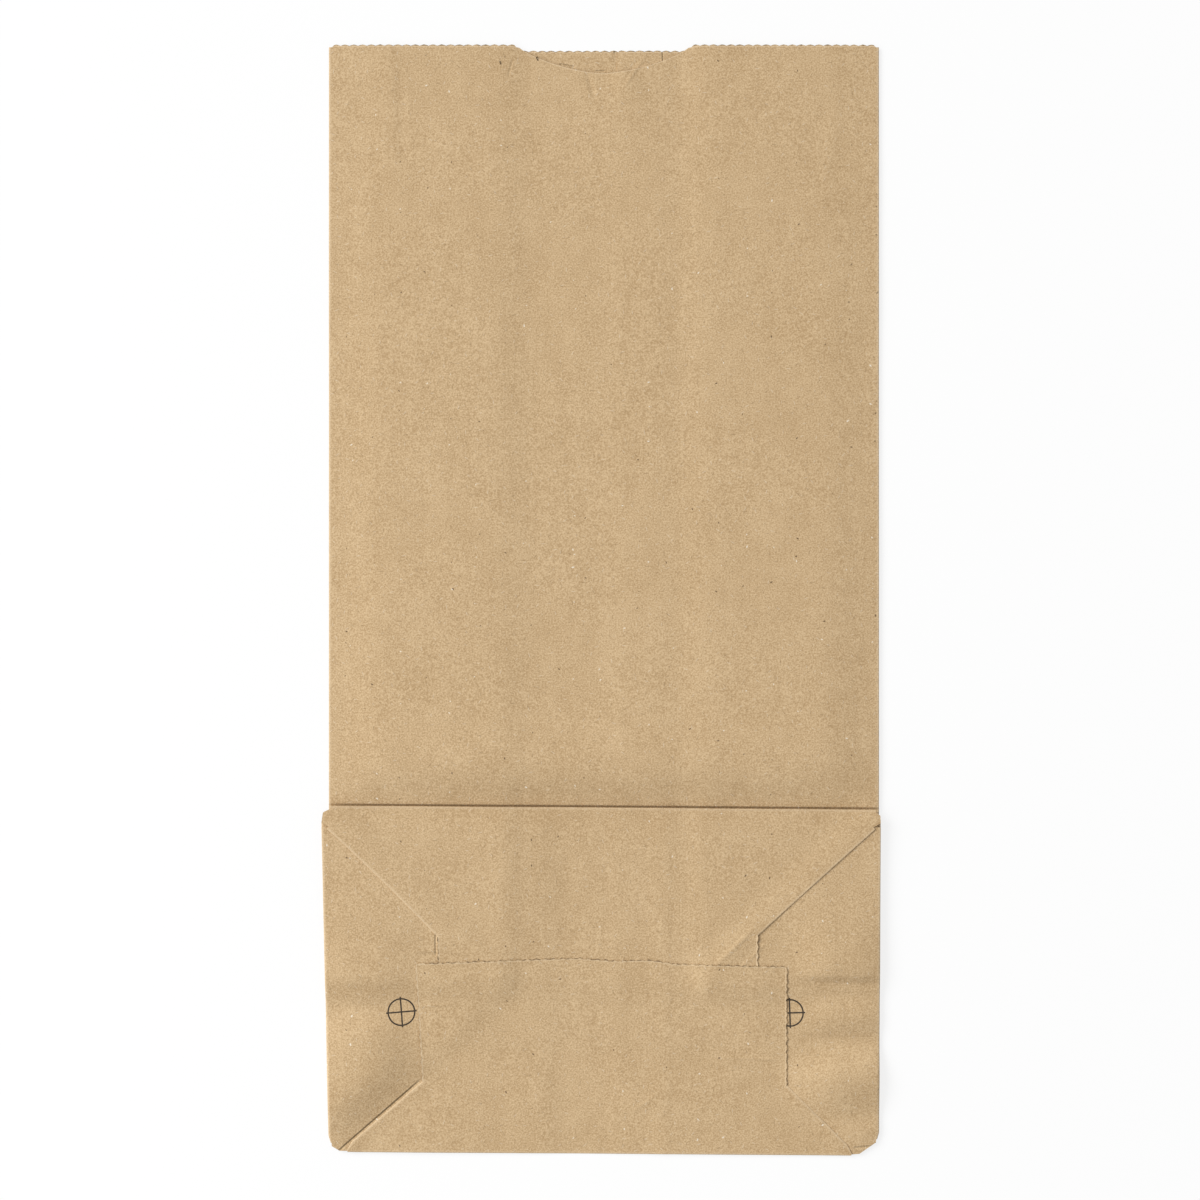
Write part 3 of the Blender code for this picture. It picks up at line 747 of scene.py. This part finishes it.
def knife_cut(name, path):
    """Add a ply's saw-toothed edge outside a path, which keeps the ply on its left."""
    ply = plies[name]
    base = []
    travelled = 0.0
    for start, end in zip(path, path[1:]):
        length = (Vector(end) - Vector(start)).length
        for part, index in stations(ply, start, end):
            if not base or index != base[-1][1]:
                base.append((travelled + part * length, index))
        travelled += length
    teeth = toothed_path(path)
    tips = np.array([tip for _, tip in teeth])
    level = [sheet_spots[ply.verts[index]][2] for _, index in base]
    tip_heights = np.interp([at for at, _ in teeth], [at for at, _ in base], level)
    if name in ("inner_flap", "outer_flap"):
        tip_heights = tip_heights + [FLAP_CURL * knife.random() for _ in teeth]
    flap = float(name.startswith("side_flap"))
    verts = [ply.verts[index] for _, index in base]
    fringe = []
    for tip, spot, z in zip(tips, place_in(name, tips), tip_heights):
        # The edge mark sets how strong a painted shadow line the cut gets.
        edge = FAINT_EDGE if is_faint(name, tip[0]) else 1.0
        fringe.append(add_spot((*spot, z), flap=flap, edge=edge))
    outline = [Vector(where[index]) for _, index in base] + [tip for _, tip in reversed(teeth)]
    verts += reversed(fringe)
    loop = [(i, (i + 1) % len(outline)) for i in range(len(outline))]
    cut = delaunay_2d_cdt(outline, loop, [], 1, TOUCH)
    sheet_faces.extend([verts[cut[3][i][0]] for i in face] for face in cut[2])


def cut_edges():
    r = FOLD_REACH
    left, right = corners["left"], corners["right"]
    notch = notch_outline()
    knife_cut("front", [on_side("right", r, FRONT_EDGE), notch[-1]])
    knife_cut("front", [notch[0], (r, FRONT_EDGE)])
    knife_cut("back_left", [(SEAM_END, REAR_EDGE), (r, REAR_EDGE)])
    knife_cut("back_right", [on_side("right", r, REAR_EDGE), (SEAM_START, REAR_EDGE)])
    for name, edge in (("gusset_back", REAR_EDGE), ("gusset_front", FRONT_EDGE)):
        knife_cut(f"{name}_left", [(GUSSET - r, edge), (r, edge)])
        knife_cut(f"{name}_right", [on_side("right", r, edge), on_side("right", GUSSET - r, edge)])
    inner = across([left["inner_root"], left["inner_end"]], [right["inner_root"], right["inner_end"]])
    outer = across([left["outer_root"], left["outer_end"]], [right["outer_root"], right["outer_end"]])
    knife_cut("inner_flap", inner)
    knife_cut("outer_flap", outer[::-1])


cut_edges()
print(len(sheet_faces), "faces with the toothed edges")

# %% [markdown]
# ## From a sheet to paper
#
# So far the sheet has no thickness. It is moved so that its middle lies at the middle of the CAD bag and
# its lowest point touches the ground. A Solidify modifier then gives it the paper's thickness on both
# sides. Area-weighted normals keep the broad plies smoothly lit right up to their narrow bends.

# %% Make the bag
SHARP_ANGLE = math.radians(50)
BROAD_WEIGHT = 75


def make_bag():
    mesh = bpy.data.meshes.new("folded_bag")
    mesh.from_pydata(sheet_spots, [], sheet_faces)
    for name, values in (("fold", fold_marks), ("flap", flap_marks), ("edge", edge_marks)):
        mesh.attributes.new(name, "FLOAT", "POINT").data.foreach_set("value", values)
    body = bmesh.new()
    body.from_mesh(mesh)
    bmesh.ops.recalc_face_normals(body, faces=body.faces)
    body.to_mesh(mesh)
    body.free()
    bag = bpy.data.objects.new("folded_bag", mesh)
    bpy.context.scene.collection.objects.link(bag)
    thickness = bag.modifiers.new("paper_thickness", "SOLIDIFY")
    thickness.thickness = PAPER
    thickness.offset = 0.0
    evaluated = bag.evaluated_get(bpy.context.evaluated_depsgraph_get())
    solid = bpy.data.meshes.new_from_object(evaluated)
    bag.modifiers.clear()
    bag.data = solid
    return bag


bag = make_bag()
spots = np.array([vert.co for vert in bag.data.vertices])
bag_middle = (Vector(spots.min(0)) + Vector(spots.max(0))) / 2
sheet_shift = (cad_low + cad_high) / 2 - bag_middle
sheet_shift.z = -spots[:, 2].min()
for vert in bag.data.vertices:
    vert.co += sheet_shift
bag.data.polygons.foreach_set("use_smooth", [True] * len(bag.data.polygons))
bag.data.set_sharp_from_angle(angle=SHARP_ANGLE)
normals = bag.modifiers.new("broad_faces_lead", "WEIGHTED_NORMAL")
normals.keep_sharp = True
normals.weight = BROAD_WEIGHT
print("moved by, mm:", [round(1000 * step, 3) for step in sheet_shift])
print(sum(len(face.vertices) - 2 for face in bag.data.polygons), "triangles")

# %% [markdown]
# ## A little language for shaders
#
# A finish is a sum of many small patterns, and writing sums as wired nodes is hard to read. This class
# wraps a socket so that `1 - mask * 0.5` adds the Math nodes by itself. Everything else comes from one
# method that takes a node's type, its settings and its inputs.

# %% Shader helpers
class Socket:
    """A shader value that can be used in Python sums."""

    def __init__(self, tree, socket):
        self.tree = tree
        self.socket = socket

    def maths(self, operation, *values):
        return node(self.tree, "Math", {"operation": operation}, dict(enumerate(values)))

    def __add__(self, other):
        return self.maths("ADD", self, other)

    def __radd__(self, other):
        return self.maths("ADD", other, self)

    def __sub__(self, other):
        return self.maths("SUBTRACT", self, other)

    def __rsub__(self, other):
        return self.maths("SUBTRACT", other, self)

    def __mul__(self, other):
        return self.maths("MULTIPLY", self, other)

    def __rmul__(self, other):
        return self.maths("MULTIPLY", other, self)

    def __abs__(self):
        return self.maths("ABSOLUTE", self)

    def most(self, other):
        return self.maths("MAXIMUM", self, other)

    def least(self, other):
        return self.maths("MINIMUM", self, other)

    def step(self, low, high):
        """Nothing below low, one above high and a soft step between them."""
        settings = {"interpolation_type": "SMOOTHSTEP"}
        return node(self.tree, "MapRange", settings, {"Value": self, "From Min": low, "From Max": high})


def node(tree, kind, settings, inputs, output=0):
    """Add a node, set it up, feed its sockets and return one of its outputs."""
    made = tree.nodes.new("ShaderNode" + kind)
    for name, value in settings.items():
        setattr(made, name, value)
    for name, value in inputs.items():
        if isinstance(value, Socket):
            tree.links.new(value.socket, made.inputs[name])
        else:
            made.inputs[name].default_value = value
    return Socket(tree, made.outputs[output])


def blend(tree, factor, first, second):
    """A colour between two others."""
    return node(tree, "Mix", {"data_type": "RGBA"}, {0: factor, 6: first, 7: second}, 2)


def feed(shader, tree, name, value):
    tree.links.new(value.socket, shader.inputs[name])


print("shader helpers ready")

# %% [markdown]
# ## The kraft paper
#
# Kraft paper is unbleached wood pulp. Close up it shows cloudy patches where fibres lie thicker, a fine
# grain, pale and dark hairs, and a few specks of bark and of bleached pulp. All of it is procedural, in
# the object's own coordinates, so it looks the same from every side. Fold lines are painted paler, partly
# as rubbed paper and partly as a painted highlight on the bends. The thumb notch's edge is painted pale,
# as frayed fibres and as a painted highlight, and the other cuts get a thin broken painted shadow. Narrow
# wrinkles, and one faint band above the bottom's crease, are soft straight lines of relief, and their
# valleys are painted darker and their ridges paler, as painted shade and painted light.

# %% Paper colours and patterns
PAPER_DEEP = (0.446, 0.294, 0.147, 1)
PAPER_PALE = (0.676, 0.495, 0.290, 1)
# Rubbed paper, pale enough to serve also as a painted highlight on the bends and on the notch's edge.
PAPER_RUBBED_AND_HIGHLIT = (0.80, 0.63, 0.42, 1)
# Bark brown, for dark hairs and bark specks, and also the colour of the painted shadow along cut edges.
BARK_AND_SHADOW_BROWN = (0.105, 0.060, 0.028, 1)
PULP = (0.90, 0.82, 0.68, 1)
INK = (0.035, 0.024, 0.016, 1)

kraft = bpy.data.materials.new("kraft_paper")
kraft.use_nodes = True
tree = kraft.node_tree
position = node(tree, "TexCoord", {}, {}, "Object")
FLAT = (1, 1, 0)


def vectors(operation, first, second=None, output="Vector"):
    """A sum with vectors, which gives a vector or, as output Value, a number."""
    inputs = {0: first} if second is None else {0: first, 1: second}
    return node(tree, "VectorMath", {"operation": operation}, inputs, output)


def clouds(size, detail, where_from=position, roughness=0.5):
    """Soft noise with patches of this size, from about -0.5 to 0.5."""
    inputs = {"Vector": where_from, "Scale": 1 / size, "Detail": detail, "Roughness": roughness}
    return node(tree, "TexNoise", {}, inputs) - 0.5


def stretched(x, y, z=1.0):
    """The object's coordinates, stretched so that patterns grow longer along an axis."""
    inputs = {"Vector": position, "Scale": (1 / x, 1 / y, 1 / z)}
    return node(tree, "Mapping", {}, inputs)


def turned_by(vector, angle):
    return node(tree, "VectorRotate", {"rotation_type": "Z_AXIS"}, {"Vector": vector, "Angle": angle})


def mark(name):
    """One of the three things that every point of the sheet remembers."""
    return node(tree, "Attribute", {"attribute_name": name}, {}, "Fac")


SEED_TILT = 0.37
SMALLEST = 0.5
SIZE_SPREAD = 0.7
SPECK_CORE = 0.55
SHARP = 0.001


def specks(cell, share, length, width, seed):
    """Short dashes with random places and directions: at most one in a cell, in a share of the cells."""
    moved = node(tree, "Mapping", {}, {"Vector": position, "Location": (seed, SEED_TILT * seed, 0)})
    flat = vectors("MULTIPLY", moved, FLAT)
    made = tree.nodes.new("ShaderNodeTexVoronoi")
    made.inputs["Scale"].default_value = 1 / cell
    tree.links.new(flat.socket, made.inputs["Vector"])
    middle, dice = (Socket(tree, made.outputs[name]) for name in ("Position", "Color"))
    channels = ("Red", "Green", "Blue")
    chance, turn, size = (node(tree, "SeparateColor", {}, {"Color": dice}, name) for name in channels)
    size = size * SIZE_SPREAD + SMALLEST
    away = turned_by(vectors("SUBTRACT", flat, middle), turn * math.tau)
    squashed = vectors("MULTIPLY", away, (1 / length, 1 / width, 0))
    reach = vectors("LENGTH", squashed, output="Value")
    dash = 1 - reach.step(SPECK_CORE * size, 1.0 * size)
    return dash * (1 - chance.step(share, share + SHARP))


thick_fibres = clouds(21 * MM, 2.0)
mottle = clouds(5.5 * MM, 3.0, roughness=0.6)
grain = clouds(0.44 * MM, 1.5, roughness=0.8)
streaks = clouds(1.0, 2.0, where_from=stretched(1.6 * MM, 17 * MM, 6 * MM))
hairs = specks(3.1 * MM, 0.75, 0.75 * MM, 0.10 * MM, 0.9)
pale_hairs = specks(3.4 * MM, 0.70, 0.70 * MM, 0.11 * MM, 2.3)
bark = specks(7.5 * MM, 0.14, 0.42 * MM, 0.20 * MM, 4.1)
pulp = specks(7.0 * MM, 0.13, 0.42 * MM, 0.22 * MM, 6.7)
fold, edge = mark("fold"), mark("edge")
# An edge mark near 0.4 is the frayed notch, painted pale partly as a painted highlight, and a mark near
# one is a cut with a painted shadow line.
frayed_and_highlit = edge.step(0.05, 0.35) * (1 - edge.step(0.45, 0.65))
breaks = clouds(1.1 * MM, 1.0).step(-0.06, 0.10)
# A thin broken painted shadow along the cut edges.
shaded_cut = edge.step(0.5, 0.85) * (0.12 + 0.6 * breaks)


def to_world(x, y):
    """Where a point of the plan, in millimetres, lies on the laid bag."""
    spot = place(np.array([(x * MM, y * MM)]), True)[0]
    return Vector((spot[0] + sheet_shift.x, spot[1] + sheet_shift.y, 0))


SOFT_ENDS = 0.38
SHARP_ENDS = 0.12
# Each line is relief, and through the tone its valley is also painted darker and its ridge paler: painted
# shade and painted light. The two rows along y 98 paint the shade in the crevice under the bottom's
# crease and a broad painted shade above it.
WRINKLE_AND_SHADE_LINES = [
    # start x and y, end x and y, half width and height, or depth if negative; all in mm on the plan
    (120.6, 64.6, 109.8, 54.1, 1.3, 0.16),
    (123.5, 60.0, 116.5, 53.0, 0.9, 0.08),
    (110.9, 27.6, 127.1, 27.1, 0.8, 0.09),
    (86.0, 12.0, 93.5, 17.5, 1.0, 0.07),
    (25.6, 41.6, 35.0, 41.9, 0.8, 0.07),
    (89.5, 311.0, 83.4, 301.6, 1.0, 0.10),
    (73.0, 306.0, 75.2, 298.6, 1.3, -0.14),
    (19.8, 312.0, 20.9, 277.5, 2.6, -0.08),
    (81.7, 312.6, 81.4, 306.8, 1.6, -0.10),
    (80.6, 311.9, 83.6, 312.2, 0.5, -0.35),
    (94.4, 312.3, 94.5, 309.3, 0.3, -0.30),
    (52.0, 309.6, 50.8, 305.0, 0.6, -0.08),
    (143.5, 300.0, 140.0, 268.0, 3.0, 0.06),
    (-8.0, 98.0, 164.0, 98.0, 0.75, -0.40),
    (-8.0, 98.0, 164.0, 98.0, 9.0, -0.24),
    (-3.0, 46.5, 23.0, 46.0, 3.0, -0.16),
    (133.0, 49.0, 159.0, 48.8, 2.4, -0.28),
    (135.0, 33.0, 159.0, 33.4, 3.0, -0.12),
    (148.6, 2.6, 155.2, -0.7, 0.6, -0.20),
    (2.6, 0.3, 25.6, 20.2, 0.55, -0.45),
    (25.4, 56.2, 31.2, 56.0, 1.1, -0.16),
    (30.3, 62.0, 30.3, 56.0, 0.5, -0.20),
    (65.2, 308.5, 69.5, 307.7, 0.45, -0.24),
    (75.5, 306.6, 78.1, 306.5, 0.40, -0.20),
    (58.8, 310.5, 59.3, 309.5, 0.35, -0.90),
    (48.5, 309.2, 48.8, 308.3, 0.30, -0.90),
    (147.0, 0.4, 158.0, -3.5, 2.6, -0.25),
]


def beside(x1, y1, x2, y2, fade):
    """Distance to the left of a line, and a mask that fades out at the line's ends."""
    start, end = to_world(x1, y1), to_world(x2, y2)
    along = (end - start).normalized()
    length = (end - start).length
    away = vectors("SUBTRACT", position, start)
    far = vectors("DOT_PRODUCT", away, along, "Value")
    aside = vectors("DOT_PRODUCT", away, (-along.y, along.x, 0), "Value")
    first = far.step(-fade * length / 2, fade * length)
    return aside, first * (1 - far.step((1 - fade) * length, (1 + fade / 2) * length))


def wrinkle(*line, half_width, height):
    """A soft straight ridge, or a valley if its height is negative."""
    aside, ends = beside(*line, SHARP_ENDS if half_width < 1 else SOFT_ENDS)
    return (1 - abs(aside).step(0, half_width * MM)) * ends * (height * MM)


wrinkle_relief_and_shade = sum(wrinkle(*line, half_width=width, height=height) for *line, width, height in WRINKLE_AND_SHADE_LINES)
UPWARD_FACES = (0.1, 0.4)
facing = node(tree, "TexCoord", {}, {}, "Normal")
upward = node(tree, "SeparateXYZ", {}, {"Vector": facing}, "Z").step(*UPWARD_FACES)
wrinkle_relief_and_shade = wrinkle_relief_and_shade * upward
print("paper patterns:", len(tree.nodes), "nodes")

# %% [markdown]
# ## The printer's register marks
#
# Two small crossed circles on the side flaps show the printer that the colours line up. They are generic
# marks, drawn here from distances: a ring is where the distance to its middle is near the radius, and a
# bar is where one coordinate is near zero. They are printed only where the flap attribute is one, and
# the outer flap hides part of the right one, as on the real bag.

# %% Ink
MARK_RADIUS = 3.75 * MM
MARK_ARM = 4.3 * MM
MARK_LINE = 0.22 * MM
MARKS = {
    "left": (20.6 * MM, 39.8 * MM, math.radians(-4.5)),
    "right": (25.2 * MM, 40.3 * MM, math.radians(-2.0)),
}
BLUNT_ENDS = 4
INK_GRAIN = 0.35 * MM
INK_SPREAD = 0.07 * MM


def crossed_circle(side):
    inset, height, turn = MARKS[side]
    x, y = place(np.array([on_side(side, inset, height)]), True)[0]
    middle = (x + sheet_shift.x, y + sheet_shift.y, 0)
    away = turned_by(vectors("SUBTRACT", position, middle), turn)
    axes = [node(tree, "SeparateXYZ", {}, {"Vector": away}, name) for name in ("X", "Y")]
    reach = vectors("LENGTH", vectors("MULTIPLY", away, FLAT), output="Value")
    nearest = abs(reach - MARK_RADIUS)
    for across_bar, along_bar in (axes, axes[::-1]):
        beyond = (abs(along_bar) - MARK_ARM).most(0) * BLUNT_ENDS
        nearest = nearest.least(abs(across_bar) + beyond)
    ragged = nearest + clouds(INK_GRAIN, 1.0) * INK_SPREAD
    return 1 - ragged.step(MARK_LINE - INK_SPREAD / 2, MARK_LINE + INK_SPREAD / 2)


ink = crossed_circle("left").most(crossed_circle("right")) * mark("flap").step(0.5, 0.9)
print("marks on:", ", ".join(MARKS))

# %% [markdown]
# ## Mixing the finish
#
# The patterns add up to one number that chooses between deep and pale paper; the wrinkles' part of it is
# painted shade in their valleys and painted light on their ridges. The specks, the paler folds and notch
# edge, the painted shadow of the cuts and the ink are laid over it. The same patterns give the relief:
# thick patches stand a few hundredths of a millimetre proud, and the grain is finer still. Ink fills the
# surface, so it is a little smoother.

# %% Paper shader
TONE_MIDDLE = 0.5
# The wrinkles' share paints shade into their valleys and light onto their ridges.
TONE_SHARES = [(wrinkle_relief_and_shade, 0.5 / MM), (thick_fibres, 0.26), (mottle, 0.55), (grain, 3.0), (streaks, 0.2)]
RELIEF_SHARES = [(mottle, 0.12), (grain, 0.06), (thick_fibres, 0.15), (hairs + pale_hairs, 0.01)]
LAYERS = [
    # how much of each colour is laid over the paper, from the first layer to the last
    (hairs * 0.32, BARK_AND_SHADOW_BROWN),
    (pale_hairs * 0.30, PULP),
    (bark * 0.85, BARK_AND_SHADOW_BROWN),
    (pulp * 0.75, PULP),
    # paler folds and notch edge: rubbed and frayed paper, and partly a painted highlight
    ((fold * 0.33).most(frayed_and_highlit * 0.5), PAPER_RUBBED_AND_HIGHLIT),
    # painted shadow along the cut edges
    (shaded_cut, BARK_AND_SHADOW_BROWN),
    (ink * 0.97, INK),
]

tone = TONE_MIDDLE + sum(pattern * share for pattern, share in TONE_SHARES)
colour = blend(tree, tone.most(0).least(1), PAPER_DEEP, PAPER_PALE)
for cover, paint in LAYERS:
    colour = blend(tree, cover, colour, paint)
relief = sum(pattern * (height * MM) for pattern, height in RELIEF_SHARES) + wrinkle_relief_and_shade
shader = tree.nodes["Principled BSDF"]
feed(shader, tree, "Base Color", colour)
feed(shader, tree, "Roughness", 0.80 + grain * 0.25 - ink * 0.15)
feed(shader, tree, "Normal", node(tree, "Bump", {}, {"Height": relief, "Distance": 1.0, "Strength": 1.0}))
shader.inputs["Specular IOR Level"].default_value = 0.3

bag.data.materials.clear()
bag.data.materials.append(kraft)
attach(bag, "root")
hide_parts("paper_bag")
print("kraft paper:", len(tree.nodes), "nodes")

# %% [markdown]
# ## Floor, light and camera
#
# The photograph was taken straight from above on a white sweep. The floor gives the camera mostly white
# and keeps a faint shadow. A large soft lamp at the upper left models the folds, a small one near the
# left edge makes that side a little brighter, and a pale world fills in.

# %% Floor
FLOOR_SIZE = 6.0
FLOOR_COLOUR = (0.92, 0.92, 0.92, 1)
FLOOR_ROUGHNESS = 0.9
FLOOR_WHITENESS = 0.80


def make_floor():
    half = FLOOR_SIZE / 2
    mesh = bpy.data.meshes.new("floor")
    square = [(-half, -half, 0), (half, -half, 0), (half, half, 0), (-half, half, 0)]
    mesh.from_pydata(square, [], [(0, 1, 2, 3)])
    floor = bpy.data.objects.new("floor", mesh)
    bpy.context.scene.collection.objects.link(floor)
    material = bpy.data.materials.new("white_sweep")
    material.use_nodes = True
    nodes = material.node_tree
    surface = nodes.nodes["Principled BSDF"]
    surface.inputs["Base Color"].default_value = FLOOR_COLOUR
    surface.inputs["Roughness"].default_value = FLOOR_ROUGHNESS
    seen = node(nodes, "LightPath", {}, {}, "Is Camera Ray")
    for ray in ("Is Glossy Ray", "Is Transmission Ray"):
        seen = seen.most(node(nodes, "LightPath", {}, {}, ray))
    glow = node(nodes, "Emission", {}, {"Color": (1, 1, 1, 1), "Strength": 1.0})
    plain = Socket(nodes, surface.outputs["BSDF"])
    mixed = node(nodes, "MixShader", {}, {0: seen * FLOOR_WHITENESS, 1: plain, 2: glow})
    nodes.links.new(mixed.socket, nodes.nodes["Material Output"].inputs["Surface"])
    mesh.materials.append(material)
    return floor


floor = make_floor()
print("floor:", FLOOR_SIZE, "m")

# %% Light
LIGHT_LEVEL = 1.10
LAMPS = {
    # share of the light, distance and width in metres, elevation and direction in degrees
    "softbox": (0.46, 7.0, 3.8, 34, 147),
    "side_lamp": (0.14, 0.9, 0.5, 40, 196),
}
WORLD_SHARE = 1 - sum(lamp[0] for lamp in LAMPS.values())

world = bpy.data.worlds.new("studio")
world.use_nodes = True
background = world.node_tree.nodes["Background"]
background.inputs["Color"].default_value = (1, 1, 1, 1)
background.inputs["Strength"].default_value = LIGHT_LEVEL * WORLD_SHARE
bpy.context.scene.world = world


def add_lamp(name, share, distance, size, elevation, azimuth):
    """A square soft lamp that gives level paper its share of the light."""
    up, turn = math.radians(elevation), math.radians(azimuth)
    towards = Vector((math.cos(turn) * math.cos(up), math.sin(turn) * math.cos(up), math.sin(up)))
    lamp = bpy.data.lights.new(name, "AREA")
    lamp.shape = "SQUARE"
    lamp.size = size
    lamp.energy = LIGHT_LEVEL * share * math.pi**2 * distance**2 / math.sin(up)
    holder = bpy.data.objects.new(name, lamp)
    holder.location = towards * distance
    holder.rotation_euler = towards.to_track_quat("Z", "Y").to_euler()
    bpy.context.scene.collection.objects.link(holder)
    print(name, "power, W:", round(lamp.energy, 1))


for name, settings in LAMPS.items():
    add_lamp(name, *settings)

# %% Camera
PICTURE_WIDTH = 340 * MM
CAMERA_LENS = 100.0
SENSOR = 36.0
CAMERA_ASIDE = -0.3 * MM

lens = bpy.data.cameras.new("camera")
lens.lens = CAMERA_LENS
lens.sensor_width = SENSOR
camera = bpy.data.objects.new("camera", lens)
camera.location = (CAMERA_ASIDE, 0, PICTURE_WIDTH * CAMERA_LENS / SENSOR)
bpy.context.scene.collection.objects.link(camera)
bpy.context.scene.camera = camera
bpy.context.scene.view_settings.view_transform = "Standard"
print("camera height, m:", round(camera.location.z, 3))
